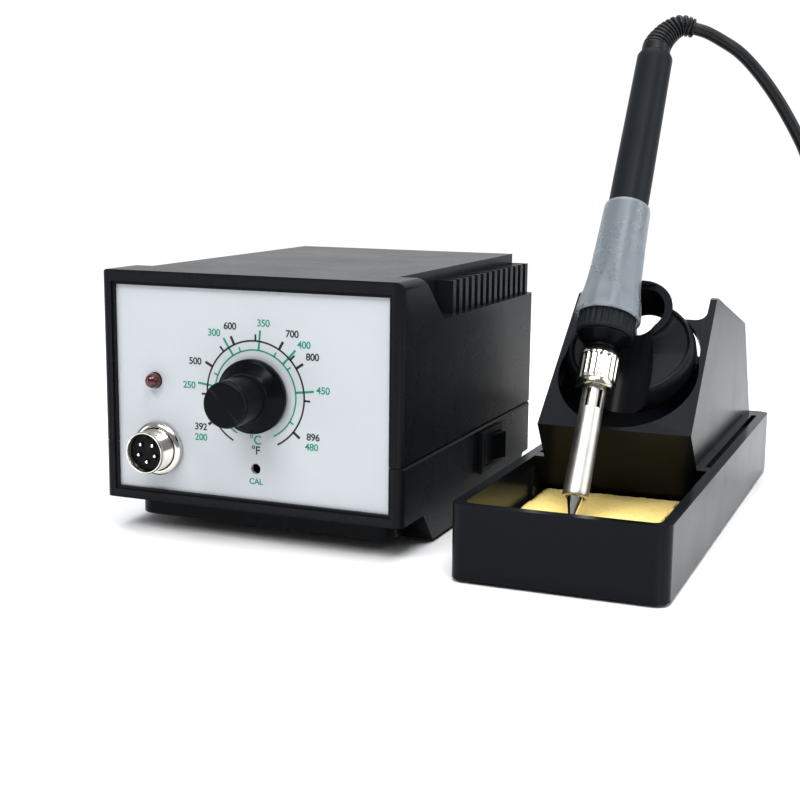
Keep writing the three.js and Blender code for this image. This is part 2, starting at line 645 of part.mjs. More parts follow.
function switchHousing() {
  const plate = box(CASE_HALF + GAP, CASE_HALF + 1.8, SWITCH_Y - 13, SWITCH_Y + 13, SWITCH_Z - 8.3, SWITCH_Z + 8.3);
  const shell = box(CASE_HALF - 16, CASE_HALF + 1, SWITCH_Y - SWITCH_BODY_HALF, SWITCH_Y + SWITCH_BODY_HALF,
    SWITCH_Z - 7, SWITCH_Z + 7);
  const pocket = box(CASE_HALF - 12, CASE_HALF + 3, SWITCH_Y - 10.3, SWITCH_Y + 10.3, SWITCH_Z - 5.9, SWITCH_Z + 5.9);
  let body = plate.add(shell).subtract(pocket);
  for (const dy of [-6, 6]) {
    body = body.add(box(CASE_HALF - 22, CASE_HALF - 15, SWITCH_Y + dy - 0.4, SWITCH_Y + dy + 0.4, SWITCH_Z - 2.4,
      SWITCH_Z + 2.4));
  }
  return piece('power_switch_housing', body, glossBlack());
}

// The rocker's section in XY about its upright pivot: a shallow V outside, a narrow keel inside.
function switchRocker() {
  const section = polygon([
    [-4, -5], [1.4, -9.6], [2.9, -9.6], [1.3, 0], [2.9, 9.6], [1.4, 9.6], [-4, 5], [-7, 2], [-7, -2],
  ]);
  const body = prismZ(section, -5.5, 5.5);
  const mesh = piece('power_switch_rocker', body, glossBlack());
  mesh.rotation.z = -THREE.MathUtils.degToRad(ROCKER_TILT);
  mesh.position.set(CASE_HALF + 0.4, SWITCH_Y, SWITCH_Z);
  return mesh;
}

// ---- stand ----
// The rear housing's half width shrinks with height, so its side walls lean inwards.
function housingHalf(z) {
  return 29.1 - (z - STAND_RIM) * 0.0295;
}

const HOUSING_WALL = 2.4;
const UNDERCUT_BACK = 91;
const STAND_BOTTOM = 1;

function draftedBlock(inset, z0, z1, y0, y1) {
  const block = boxGeometry(-1, 1, y0, y1, z0, z1);
  const points = block.attributes.position;
  for (let i = 0; i < points.count; i += 1) {
    points.setX(i, points.getX(i) * (housingHalf(points.getZ(i)) - inset));
  }
  return solid(block);
}

function housingOuter() {
  const side = prismX([
    [FACE_BOTTOM.x, FACE_BOTTOM.y], [UNDERCUT_BACK, TRAY_FLOOR - 1], [201, TRAY_FLOOR - 1], [201, STAND_RIM],
    [183.2, 69.2], [113.5, 86.3], [FACE_TOP.x, FACE_TOP.y],
  ], -40, 40);
  return side.intersect(draftedBlock(0, 0, 100, 40, 210));
}

function housingInner() {
  const side = prismX([
    [65, 40.8], [74, 27], [197.4, 27], [180.6, 67.5], [180.6, 100], [130.5, 100],
  ], -40, 40);
  return side.intersect(draftedBlock(HOUSING_WALL, 0, 110, 40, 210));
}

// The opening for the receptacle: a round hole that runs out into a wide notch in the top edge.
function receptacleOpening() {
  const hole = new THREE.CylinderGeometry(RECEPTACLE_HOLE, RECEPTACLE_HOLE, 12, 48).rotateX(Math.PI / 2);
  const slot = box(-16, 16, 12, 60, -6, 9);
  const notch = prismZ(roundedRect(-24.8, 24.8, 27.7, 60, 4), -6, 9);
  const rim = new THREE.CylinderGeometry(DOME_RADIUS + 1.2, DOME_RADIUS + 1.2, 12, 36).rotateX(Math.PI / 2);
  const opening = union([solid(hole), slot, notch, solid(rim.translate(0, DOME_UP, 0))]);
  const placed = toGeometry(opening);
  placed.rotateX(FACE_TILT);
  placed.translate(0, RECEPTACLE_Y, RECEPTACLE_Z);
  return solid(placed);
}

const STAND_FOOT_RADIUS = 5;

function standFootPlaces() {
  return [2, 192].flatMap((y) => SIDES.map((side) => [side * 26, y]));
}

function standBody() {
  const outline = roundedRect(-STAND_HALF, STAND_HALF, STAND_FRONT, STAND_BACK, STAND_CORNER);
  let body = prismZ(outline, STAND_BOTTOM, STAND_RIM).add(housingOuter());
  const inner = STAND_HALF - TRAY_WALL;
  const trayOutline = roundedRect(-inner, inner, STAND_FRONT + TRAY_WALL, UNDERCUT_BACK + 40, 3);
  const undercut = prismX([
    [STAND_FRONT, TRAY_FLOOR], [UNDERCUT_BACK, TRAY_FLOOR], [FACE_BOTTOM.x, FACE_BOTTOM.y],
    [FACE_BOTTOM.x, 60], [STAND_FRONT, 60],
  ], -40, 40);
  body = body.subtract(prismZ(trayOutline, TRAY_FLOOR, 60).intersect(undercut));
  body = body.subtract(housingInner()).subtract(receptacleOpening());
  // Low gap in the back wall of the housing.
  body = body.subtract(box(-20, 20, 170, 215, 52, 100));
  // Hollow underside behind the tray, with a pad over each rear foot.
  const skirt = STAND_HALF - 2.6;
  let underside = prismZ(roundedRect(-skirt, skirt, UNDERCUT_BACK + 6, STAND_BACK - 2.6, 3), 0, 20);
  for (const [x, y] of standFootPlaces()) underside = underside.subtract(rod('z', [x, y, 0], 21, 6.8));
  body = body.subtract(underside);
  // A shallow groove along each side ledge.
  for (const side of SIDES) {
    const x = side * 32;
    body = body.subtract(box(x - 1.1, x + 1.1, 80, 196, STAND_RIM - 3.2, STAND_RIM + 1));
  }
  body = body.add(box(-inner - 0.5, -inner + 1.2, 68, 70.5, TRAY_FLOOR - 1, 23));
  for (const [x, y] of standFootPlaces()) {
    body = body.subtract(rod('z', [x, y, 0], FOOT_TOP + GAP, STAND_FOOT_RADIUS + GAP, STAND_FOOT_RADIUS + GAP, 24));
  }
  const mesh = piece('stand_body', body, glossBlack());
  mesh.position.x = STAND_X;
  return mesh;
}

function standFoot(name, x, y) {
  const profile = [[0, 0], [4.4, 0], [STAND_FOOT_RADIUS, 0.8], [STAND_FOOT_RADIUS, FOOT_TOP], [0, FOOT_TOP]];
  return piece(name, turned(profile, 'z', [STAND_X + x, y, 0], 20), rubber());
}

// Iron frame: local +Z runs from the tip towards the cord.
function ironMatrix() {
  const matrix = new THREE.Matrix4().makeRotationX(-IRON_LEAN);
  return matrix.setPosition(IRON_TIP);
}

function receptacleMatrix() {
  const matrix = new THREE.Matrix4().makeRotationX(FACE_TILT);
  return matrix.setPosition(STAND_X, RECEPTACLE_Y, RECEPTACLE_Z);
}

// Receptacle: a shallow dome in the round hole, with a hooped mouth at its upper edge and an
// open trough below it, so that the iron can lie against the hoop. Local +Z leaves the face.
const HOOP_UP = 26;
const HOOP_RADIUS = 13;
const HOOP_BORE = 10;

function receptacle() {
  const domeProfile = [
    [0, -9], [22, -9], [DOME_RADIUS, -5], [DOME_RADIUS, 1.5], [23.7, 4.2], [23, 5.6], [22.2, 5.8], [21.2, 4.8], [0, 3.2],
  ];
  const dome = turned(domeProfile, 'z', [0, DOME_UP, 0], 36);
  const tube = rodGeometry('z', [0, 0, -16], 20.5, 10.6, HOOP_RADIUS, 32);
  const bore = rodGeometry('z', [0, 0, -20], 40, HOOP_BORE, HOOP_BORE, 32);
  const tilt = THREE.MathUtils.degToRad(10);
  for (const part of [tube, bore]) {
    part.translate(0, HOOP_RADIUS, -4.5).rotateX(tilt).translate(0, HOOP_UP - HOOP_RADIUS, 4.5);
  }
  let body = dome.add(solid(tube));
  for (const side of SIDES) {
    const start = side > 0 ? 22 : -24.9;
    body = body.add(rod('x', [start, DOME_UP, -4.2], 2.9, 3.6, 3.6, 16));
  }
  body = body.subtract(solid(bore));
  // Trough along the iron's lean.
  const trough = rodGeometry('z', [0, 0, -40], 62, 11, 11, 32);
  trough.rotateX(-IRON_LEAN - FACE_TILT).translate(0, 13, 12.4);
  body = body.subtract(solid(trough));
  const clearance = rodGeometry('z', [0, 0, 30], 44, 8.6, 8.6, 28);
  const collarClearance = rodGeometry('z', [0, 0, 68.5], 60, 12.9, 12.9, 36);
  const toLocal = receptacleMatrix().invert().multiply(ironMatrix());
  body = body.subtract(solid(clearance.applyMatrix4(toLocal)));
  body = body.subtract(solid(collarClearance.applyMatrix4(toLocal)));
  const mesh = piece('iron_receptacle', body, rubber());
  mesh.rotation.x = FACE_TILT;
  mesh.position.set(STAND_X, RECEPTACLE_Y, RECEPTACLE_Z);
  return mesh;
}

const SPONGE_TOP = 12;

function cleaningSponge() {
  const shape = roundedRect(86.9, 140.7, 22, 84.4, 1.5);
  return piece('cleaning_sponge', prismZ(shape, TRAY_FLOOR + GAP, SPONGE_TOP), material(0xf3df93, 0.95));
}

// ---- iron, built along its own axis from the tip at the origin ----
function ironTurned(name, points, paint, sides = 32) {
  return piece(name, turned(points, 'z', [0, 0, 0], sides), paint);
}

function hollowTurned(name, points, bores, paint, sides = 32) {
  let body = turned(points, 'z', [0, 0, 0], sides);
  for (const [z0, z1, r] of bores) body = body.subtract(rod('z', [0, 0, z0], z1 - z0, r, r, sides));
  return piece(name, body, paint);
}

function ironTip() {
  return hollowTurned('iron_tip', [
    [0, 0], [1, 0], [1.2, 0.3], [3.2, 9], [3.2, 40], [3.9, 40.2], [3.9, 41.8], [0, 41.8],
  ], [[16, 45, 2.2]], steel(), 24);
}

// Slotted tube that carries the tip; its flange is clamped by the nut.
function tipBarrel() {
  let body = turned([
    [0, 8], [4.4, 8], [4.75, 8.6], [4.75, 10], [4.35, 42], [4.35, 51], [6.6, 51], [6.6, 52.4], [0, 52.4],
  ], 'z', [0, 0, 0], 32);
  body = body.subtract(rod('z', [0, 0, 5], 36.8, 3.55, 3.55, 28));
  body = body.subtract(rod('z', [0, 0, 38], 20, 3.98, 3.98, 28));
  for (let i = 0; i < 3; i += 1) {
    const slot = boxGeometry(-6, 6, -0.8, 0.8, 42.5, 49.5);
    body = body.subtract(solid(slot.rotateZ(i * Math.PI / 3 + 0.3)));
  }
  return piece('tip_barrel', body, chrome());
}

function heatingElement() {
  return ironTurned('heating_element', [
    [0, 18], [1.6, 18], [1.9, 18.4], [1.9, 60], [3.1, 60], [3.1, 76], [0, 76],
  ], material(0xe8e6df, 0.6), 20);
}

function barrelNut() {
  let body = turned([
    [0, 50.4], [6.9, 50.4], [7.1, 50.8], [7.1, 52.4], [7.4, 52.9], [7.4, 63.6], [5.6, 66.2], [0, 66.2],
  ], 'z', [0, 0, 0], 28);
  body = body.subtract(rod('z', [0, 0, 52.87], 20, 4.95, 4.95, 28));
  body = body.subtract(rod('z', [0, 0, 50.7], 2.2, 6.85, 6.85, 32));
  body = body.subtract(rod('z', [0, 0, 45], 10, 4.65, 4.65, 28));
  for (let i = 0; i < 14; i += 1) {
    const flute = rodGeometry('z', [7.75, 0, 53.6], 9, 0.6, 0.6, 4).rotateZ(i * Math.PI / 7);
    body = body.subtract(solid(flute));
  }
  return piece('barrel_nut', body, chrome());
}

// Threaded nipple between the nut and the collar.
function nipple() {
  const points = [[0, 53.4], [4.6, 53.4], [4.6, 66.5], [5.3, 66.8], [5.3, 67.4], [6.4, 67.9], [10, 71.7], [0, 71.7]];
  return hollowTurned('nipple', points, [[50, 80, 3.4]], glossBlack(), 32);
}

function handleCollar() {
  let body = turned([
    [0, 72], [10.4, 72], [10.8, 72.5], [10.8, 83.5], [7.2, 85.5], [7.2, 91.5], [0, 91.5],
  ], 'z', [0, 0, 0], 32);
  body = body.subtract(rod('z', [0, 0, 65], 40, 5.2, 5.2, 28));
  for (let i = 0; i < 16; i += 1) {
    const groove = rodGeometry('z', [11, 0, 73.5], 12, 0.55, 0.55, 4).rotateZ(i * Math.PI / 8);
    body = body.subtract(solid(groove));
  }
  return piece('handle_collar', body, abs());
}

function handle() {
  return hollowTurned('handle', [
    [0, 91.8], [7.7, 91.8], [7.6, 140], [7.1, HANDLE_END - 4], [7.1, HANDLE_END - 0.6], [6.7, HANDLE_END], [0, HANDLE_END],
  ], [[85, HANDLE_END - 6, 5.6], [HANDLE_END - 8, HANDLE_END + 2, 4.2]], abs(), 28);
}

// Soft sleeve over the handle and the collar, flared at its open lower end.
function gripSleeve() {
  let body = turned([
    [0, 79.5], [12.3, 79.5], [12.4, 80.1], [11.9, 85.5], [10.9, 89.5], [10.1, 96.5], [9.4, 111.5], [8.9, 127.1], [8.6, 127.7],
    [0, 127.7],
  ], 'z', [0, 0, 0], 32);
  body = body.subtract(turned([
    [0, 78.5], [11.3, 78.5], [11.2, 86.5], [9.2, 90.5], [8, 93.5], [8, 129.5], [0, 129.5],
  ], 'z', [0, 0, 0], 32));
  for (let i = 0; i < 8; i += 1) {
    const flute = rodGeometry('z', [12.4, 0, 81.5], 13, 0.5, 0.5, 4).rotateZ(i * Math.PI / 4 + 0.2);
    body = body.subtract(solid(flute));
  }
  return piece('grip_sleeve', body, material(0xb9cbd8, 0.35));
}

// ---- strain relief and cord, in the outer frame ----
function handleEnd(extra) {
  return new THREE.Vector3(0, 0, HANDLE_END + extra).applyMatrix4(ironMatrix());
}

function reliefCurve() {
  return new THREE.CatmullRomCurve3([
    handleEnd(-3.2), handleEnd(0.8), handleEnd(5), new THREE.Vector3(113.6, 150.6, 189.4),
    new THREE.Vector3(118.3, 153.5, 192.6), new THREE.Vector3(123.4, 155.6, 191.6),
  ]);
}

// A round section carried along a curve, with a radius at each step.
function loft(curve, radii, sides) {
  const frames = curve.computeFrenetFrames(radii.length - 1, false);
  const positions = [];
  for (let i = 0; i < radii.length; i += 1) {
    const centre = curve.getPointAt(i / (radii.length - 1));
    for (let k = 0; k < sides; k += 1) {
      const angle = 2 * Math.PI * k / sides;
      const point = centre.clone();
      point.addScaledVector(frames.normals[i], radii[i] * Math.cos(angle));
      point.addScaledVector(frames.binormals[i], radii[i] * Math.sin(angle));
      positions.push(point.x, point.y, point.z);
    }
  }
  const first = curve.getPointAt(0);
  const last = curve.getPointAt(1);
  positions.push(first.x, first.y, first.z, last.x, last.y, last.z);
  const index = [];
  const firstCap = radii.length * sides;
  for (let k = 0; k < sides; k += 1) {
    const next = (k + 1) % sides;
    for (let i = 0; i < radii.length - 1; i += 1) {
      const a = i * sides;
      const b = a + sides;
      index.push(a + k, a + next, b + next, a + k, b + next, b + k);
    }
    index.push(firstCap, next, k);
    const end = (radii.length - 1) * sides;
    index.push(firstCap + 1, end + k, end + next);
  }
  const geometry = new THREE.BufferGeometry();
  geometry.setAttribute('position', new THREE.BufferAttribute(new Float32Array(positions), 3));
  geometry.setIndex(index);
  return geometry;
}

function strainRelief() {
  const steps = 22;
  const radii = [];
  for (let i = 0; i <= steps; i += 1) radii.push(i < 4 ? 3.9 : 5.7 - 1.8 * (i - 4) / (steps - 4));
  return piece('strain_relief', solid(loft(reliefCurve(), radii, 14)), rubber());
}

// Cord route from the strain relief to the coil: over to the right, down, and along the floor.
const CORD_ROUTE = [
  [123.7, 155.7, 191.5], [128, 157.1, 190.2], [134, 158.6, 187], [142, 159.8, 181.6], [152, 161.7, 170.6],
  [162, 166, 155.2], [169.8, 170.5, 139], [175.5, 174, 116], [179, 176, 90], [180.8, 177, 60],
  [181.1, 177.1, 32], [181.1, 177.1, 18.5], [184.7, 175.1, 8.6], [193.2, 170.2, 4.5], [196.4, 168.45, 4.5],
];

function ironCord() {
  const curve = new THREE.CatmullRomCurve3(CORD_ROUTE.map((point) => new THREE.Vector3(...point)));
  const section = new THREE.Shape();
  section.absarc(0, 0, CORD_RADIUS, 0, 2 * Math.PI);
  const tube = new THREE.ExtrudeGeometry(section, { steps: 34, curveSegments: 4, extrudePath: curve });
  return piece('iron_cord', solid(tube), rubber());
}

function cordCoil() {
  const inner = COIL_MEAN - COIL_HALF_WIDTH;
  const outer = COIL_MEAN + COIL_HALF_WIDTH;
  const low = 0.3;
  const high = low + COIL_HEIGHT;
  const profile = [[inner, low], [outer, low], [outer, high], [inner, high], [inner, low]];
  const ring = new THREE.LatheGeometry(profile.map(([r, h]) => new THREE.Vector2(r, h)), 40);
  ring.rotateX(Math.PI / 2).translate(COIL_X, COIL_Y, 0);
  return piece('cord_coil', solid(ring), rubber());
}

function cordPlug() {
  const profile = [[0, 0], [3.4, 0], [4.4, 10], [7.1, 11], [7.4, 24], [7.4, 26], [6.6, 26.2], [6.6, 42], [0, 42]];
  const mesh = piece('plug_shell', turned(profile, 'y', [0, 0, 0], 28), rubber());
  mesh.position.set(PLUG_X, PLUG_Y, PLUG_Z);
  return mesh;
}

function plugRing() {
  const profile = [[0, 26.5], [9.1, 26.5], [9.3, 27], [9.3, 37.4], [8.9, 38], [0, 38]];
  const body = turned(profile, 'y', [0, 0, 0], 36).subtract(rod('y', [0, 20, 0], 30, 6.9, 6.9, 28));
  const mesh = piece('plug_ring', body, chrome());
  mesh.position.set(PLUG_X, PLUG_Y, PLUG_Z);
  return mesh;
}

// ---- assembly ----
function powerUnit() {
  const unit = new THREE.Group();
  unit.add(upperShell(), lowerBase(), frontPanel(), rearPanel(), mainsInlet(), fuseHolder(), fuseCap());
  unit.add(temperatureKnob(), knobCap(), potentiometer(), potentiometerShaft(), potentiometerNut());
  unit.add(ledLens(), socketShell(), socketNut(), socketInsert());
  pinPlaces().forEach((place, index) => unit.add(socketPin(index, place)));
  unit.add(circuitBoard(), calTrimmer(), calScrew(), heatSink(), filterCapacitor());
  unit.add(transformerCore(), transformerBobbin(), transformerFrame(), switchHousing(), switchRocker());
  screwPlaces().forEach(([x, y], index) => unit.add(caseScrew(`case_screw_${index + 1}`, x, y)));
  footPlaces().forEach(([x, y], index) => unit.add(rubberFoot(`station_foot_${index + 1}`, x, y)));
  return unit;
}

function ironStand() {
  const stand = new THREE.Group();
  stand.add(standBody(), receptacle(), cleaningSponge());
  standFootPlaces().forEach(([x, y], index) => stand.add(standFoot(`stand_foot_${index + 1}`, x, y)));
  return stand;
}

function solderingIron() {
  const iron = new THREE.Group();
  iron.applyMatrix4(ironMatrix());
  iron.add(ironTip(), tipBarrel(), heatingElement(), barrelNut(), nipple());
  iron.add(handleCollar(), handle(), gripSleeve());
  return iron;
}

function cordParts() {
  const parts = new THREE.Group();
  parts.add(strainRelief(), ironCord(), cordCoil(), cordPlug(), plugRing());
  return parts;
}

// The origin is the bottom centre of the box around everything but the free cord and its plug.
const station = new THREE.Group();
station.add(powerUnit(), ironStand(), solderingIron(), cordParts());
station.updateMatrixWorld(true);
const CORD_NODES = ['iron_cord', 'cord_coil', 'plug_shell', 'plug_ring'];
const bounds = new THREE.Box3();
station.traverse((item) => {
  if (item.isMesh && !CORD_NODES.includes(item.name)) bounds.expandByObject(item, true);
});
const centre = bounds.getCenter(new THREE.Vector3());
station.position.set(-centre.x, -centre.y, -bounds.min.z);

export default station;
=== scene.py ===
"""Looks for a soldering iron station: a power unit, the iron's stand and the iron with its cord."""

import math

import bmesh
import bpy
from mathutils import Matrix, Vector, noise


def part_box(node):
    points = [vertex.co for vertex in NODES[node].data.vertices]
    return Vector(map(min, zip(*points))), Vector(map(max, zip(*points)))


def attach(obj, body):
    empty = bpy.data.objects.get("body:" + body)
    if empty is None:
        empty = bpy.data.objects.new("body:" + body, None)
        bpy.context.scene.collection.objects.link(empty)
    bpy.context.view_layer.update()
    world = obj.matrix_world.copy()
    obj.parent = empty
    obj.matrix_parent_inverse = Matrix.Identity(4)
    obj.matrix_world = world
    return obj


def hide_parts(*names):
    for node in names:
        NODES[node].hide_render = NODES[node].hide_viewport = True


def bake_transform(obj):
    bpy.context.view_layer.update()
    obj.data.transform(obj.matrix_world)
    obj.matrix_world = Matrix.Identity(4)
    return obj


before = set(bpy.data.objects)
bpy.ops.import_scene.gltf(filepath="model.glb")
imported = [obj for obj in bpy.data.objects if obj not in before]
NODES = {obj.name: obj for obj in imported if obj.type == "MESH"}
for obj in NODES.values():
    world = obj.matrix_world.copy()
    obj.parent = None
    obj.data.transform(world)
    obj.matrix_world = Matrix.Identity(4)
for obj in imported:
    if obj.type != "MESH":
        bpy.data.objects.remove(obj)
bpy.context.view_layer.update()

SHELL_LOW, SHELL_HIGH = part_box("upper_shell")
ORIGIN = Vector(((SHELL_LOW.x + SHELL_HIGH.x) / 2, SHELL_LOW.y, 0))
MM = 0.001
GAP_MM = 0.3


def at(x, y, z):
    """A point of the power unit's own frame, in mm, as a point of the row frame, in metres."""
    return ORIGIN + Vector((x, y, z)) * MM


# ---- camera: its turns in degrees, and its place in the power unit's frame ----
CAMERA_YAW = 22.133
CAMERA_PITCH = -10.011
CAMERA_ROLL = 0.574
CAMERA_PLACE = (236.18, -435.56, 140.94)
CAMERA_LENS = 63.24
SENSOR_WIDTH = 36


def make_camera():
    yaw, pitch, roll = (math.radians(turn) for turn in (CAMERA_YAW, CAMERA_PITCH, CAMERA_ROLL))
    forward = Vector((-math.sin(yaw) * math.cos(pitch), math.cos(yaw) * math.cos(pitch), math.sin(pitch)))
    level = Vector((math.cos(yaw), math.sin(yaw), 0))
    up = level.cross(forward)
    right = level * math.cos(roll) + up * math.sin(roll)
    top = up * math.cos(roll) - level * math.sin(roll)
    data = bpy.data.cameras.new("camera")
    data.sensor_width = SENSOR_WIDTH
    data.lens = CAMERA_LENS
    data.clip_start, data.clip_end = 0.02, 50
    camera = bpy.data.objects.new("camera", data)
    camera.matrix_world = Matrix((right, top, -forward)).transposed().to_4x4()
    camera.location = at(*CAMERA_PLACE)
    bpy.context.scene.collection.objects.link(camera)
    bpy.context.scene.camera = camera


make_camera()


# ---- node materials ----
class Paint:
    """A Principled material built up from procedural layers, in row-frame metres."""

    def __init__(self, name, color, roughness, metallic=0.0, **sockets):
        self.material = bpy.data.materials.new(name)
        self.material.use_nodes = True
        self.tree = self.material.node_tree
        self.shader = self.tree.nodes["Principled BSDF"]
        self.shader.inputs["Base Color"].default_value = (*color, 1)
        self.shader.inputs["Roughness"].default_value = roughness
        self.shader.inputs["Metallic"].default_value = metallic
        for socket, value in sockets.items():
            self.shader.inputs[socket.replace("_", " ")].default_value = value
        self.color = color
        self.roughness = roughness
        self.height = None

    def node(self, kind, **settings):
        made = self.tree.nodes.new(kind)
        for key, value in settings.items():
            setattr(made, key, value)
        return made

    def link(self, a, b):
        self.tree.links.new(a, b)

    def place(self, stretch=(1, 1, 1)):
        """Object coordinates, which are the row frame's metres on every piece."""
        coordinates = self.node("ShaderNodeTexCoord").outputs["Object"]
        if stretch == (1, 1, 1):
            return coordinates
        mapping = self.node("ShaderNodeMapping")
        mapping.inputs["Scale"].default_value = stretch
        self.link(coordinates, mapping.inputs["Vector"])
        return mapping.outputs["Vector"]

    def noise(self, scale, detail=3, roughness=0.5, stretch=(1, 1, 1)):
        made = self.node("ShaderNodeTexNoise")
        made.inputs["Scale"].default_value = scale
        made.inputs["Detail"].default_value = detail
        made.inputs["Roughness"].default_value = roughness
        self.link(self.place(stretch), made.inputs["Vector"])
        return made.outputs["Fac"]

    def cells(self, scale, feature="F1"):
        made = self.node("ShaderNodeTexVoronoi", feature=feature)
        made.inputs["Scale"].default_value = scale
        self.link(self.place(), made.inputs["Vector"])
        return made.outputs["Distance"]

    def span(self, value, low, high, start=0.3, end=0.7):
        made = self.node("ShaderNodeMapRange")
        for key, number in (("From Min", start), ("From Max", end), ("To Min", low), ("To Max", high)):
            made.inputs[key].default_value = number
        self.link(value, made.inputs["Value"])
        return made.outputs["Result"]

    def tint(self, factor, other):
        """Mixes another colour over what the base colour is so far."""
        mix = self.node("ShaderNodeMix", data_type="RGBA")
        socket = self.shader.inputs["Base Color"]
        if socket.is_linked:
            self.link(socket.links[0].from_socket, mix.inputs["A"])
        else:
            mix.inputs["A"].default_value = socket.default_value
        mix.inputs["B"].default_value = (*other, 1)
        self.link(factor, mix.inputs["Factor"])
        self.link(mix.outputs["Result"], socket)
        return self

    def mottle(self, scale, amount):
        """Slow light and dark drift of the colour."""
        darker = tuple(c * (1 - amount) for c in self.color)
        return self.tint(self.span(self.noise(scale, 4), 0, 1), darker)

    def smudge(self, scale, spread):
        """Roughness that drifts over the surface, as handled plastic and metal do."""
        low, high = max(self.roughness - spread, 0.02), min(self.roughness + spread, 1)
        self.link(self.span(self.noise(scale, 5, 0.6), low, high), self.shader.inputs["Roughness"])
        return self

    def bump(self, value, depth, strength=1.0):
        made = self.node("ShaderNodeBump")
        made.inputs["Strength"].default_value = strength
        made.inputs["Distance"].default_value = depth
        self.link(value, made.inputs["Height"])
        if self.height is not None:
            self.link(self.height, made.inputs["Normal"])
        self.height = made.outputs["Normal"]
        self.link(self.height, self.shader.inputs["Normal"])
        return self

    def edge_wear_and_highlight(self, other, amount=0.5):
        """Lighter convex edges: rubbed wear and a painted edge highlight."""
        # painted highlight: convex edges are tinted lighter, together with rubbed wear
        edge = self.node("ShaderNodeNewGeometry").outputs["Pointiness"]
        return self.tint(self.span(edge, 0, amount, 0.515, 0.58), other)


def plastic(name, color, roughness, grain=0.4, depth=0.012, rub_and_highlight=(0.09, 0.09, 0.095), **sockets):
    """Moulded plastic: a fine pebbled grain, drifting gloss, and slightly rubbed edges with a painted edge
    highlight.
    """
    paint = Paint(name, color, roughness, **sockets)
    paint.mottle(45, 0.12).smudge(32, 0.025)
    paint.bump(paint.noise(1 / (grain * MM), 2), depth * MM, 0.5)
    paint.bump(paint.noise(90, 3), 0.02 * MM, 0.06)
    # painted highlight on convex edges, together with rubbed wear
    return paint.edge_wear_and_highlight(rub_and_highlight, 0.1).material


def plated(name, color, roughness, stretch=(1, 1, 1)):
    """Bright plating with fine machining lines and finger haze."""
    paint = Paint(name, color, roughness, 1.0)
    paint.mottle(120, 0.14).smudge(150, 0.07)
    return paint.bump(paint.noise(2600, 2, 0.5, stretch), 0.006 * MM, 0.4).material


def steel_paint():
    paint = Paint("brushed_steel", (0.47, 0.48, 0.5), 0.34, 1.0)
    paint.mottle(90, 0.25).smudge(80, 0.1)
    return paint.bump(paint.noise(2200, 3, 0.5, (1, 0.06, 1)), 0.01 * MM, 0.5).material


def panel_paint():
    paint = Paint("panel_plate", (0.475, 0.5, 0.525), 0.42)
    paint.mottle(14, 0.045).smudge(20, 0.05)
    return paint.bump(paint.noise(1500, 2), 0.004 * MM, 0.3).material


def ink(name, color):
    paint = Paint(name, color, 0.5)
    paint.mottle(300, 0.2)
    return paint.bump(paint.noise(3500, 2), 0.005 * MM, 0.4).material


def led_paint():
    paint = Paint("led_red", (0.05, 0.002, 0.006), 0.08, Coat_Weight=0.6, Coat_Roughness=0.03)
    paint.tint(paint.span(paint.noise(500, 2), 0, 0.4), (0.12, 0.006, 0.012))
    return paint.bump(paint.noise(700, 2), 0.01 * MM, 0.2).material


def rubber_paint(name, color, roughness):
    paint = Paint(name, color, roughness, Specular_IOR_Level=0.3)
    paint.mottle(140, 0.3).smudge(60, 0.08)
    paint.bump(paint.noise(2400, 3), 0.02 * MM, 0.5)
    # painted highlight on convex edges, together with rubbed wear
    return paint.edge_wear_and_highlight((0.05, 0.05, 0.052), 0.3).material


def board_paint():
    paint = Paint("board_mask", (0.012, 0.11, 0.04), 0.3)
    lines = paint.cells(260, "DISTANCE_TO_EDGE")
    paint.tint(paint.span(lines, 0.6, 0, 0.02, 0.09), (0.03, 0.2, 0.08)).smudge(60, 0.08)
    return paint.bump(lines, 0.03 * MM, 0.5).material


def core_paint():
    paint = Paint("laminations", (0.13, 0.135, 0.14), 0.45, 0.85)
    sheets = paint.noise(1600, 1, 0.5, (0.01, 1, 0.01))
    paint.tint(paint.span(sheets, 0, 0.7), (0.05, 0.045, 0.04)).smudge(50, 0.1)
    return paint.bump(sheets, 0.05 * MM, 0.7).material


def tape_paint():
    paint = Paint("winding_tape", (0.55, 0.36, 0.07), 0.45)
    paint.mottle(60, 0.3).smudge(40, 0.1)
    return paint.bump(paint.noise(500, 2, 0.5, (0.05, 0.05, 1)), 0.08 * MM, 0.6).material


def sponge_paint():
    """Dry cellulose sponge: pale yellow, with painted shade in pores of two sizes."""
    paint = Paint("sponge_cellulose", (1.0, 0.75, 0.25), 0.93, Subsurface_Weight=0.12,
                  Subsurface_Radius=(0.004, 0.003, 0.0015), Sheen_Weight=0.1)
    fine, coarse = paint.cells(900), paint.cells(330)
    paint.tint(paint.span(paint.noise(35, 4), 0, 0.7), (1, 0.82, 0.33))
    # painted shade: pores of two sizes are tinted darker
    paint.tint(paint.span(fine, 0.25, 0, 0.12, 0.5), (0.83, 0.54, 0.13))
    paint.tint(paint.span(coarse, 0.4, 0, 0.05, 0.3), (0.75, 0.47, 0.1))
    return paint.bump(fine, 0.3 * MM, 0.5).bump(coarse, 0.45 * MM, 0.45).material


def grip_paint():
    """Translucent grey-blue silicone over the dark handle, with a painted highlight on its edges."""
    paint = Paint("grip_silicone", (0.44, 0.49, 0.54), 0.28, Transmission_Weight=0.72, IOR=1.35,
                  Subsurface_Weight=0.1, Subsurface_Radius=(0.003, 0.003, 0.004), Coat_Weight=0.15,
                  Coat_Roughness=0.3)
    paint.tint(paint.span(paint.noise(70, 4), 0, 0.5), (0.53, 0.58, 0.63)).smudge(60, 0.08)
    paint.bump(paint.noise(420, 3), 0.05 * MM, 0.35)
    # painted highlight: convex edges tinted towards near white
    return paint.edge_wear_and_highlight((0.85, 0.88, 0.92), 0.7).material


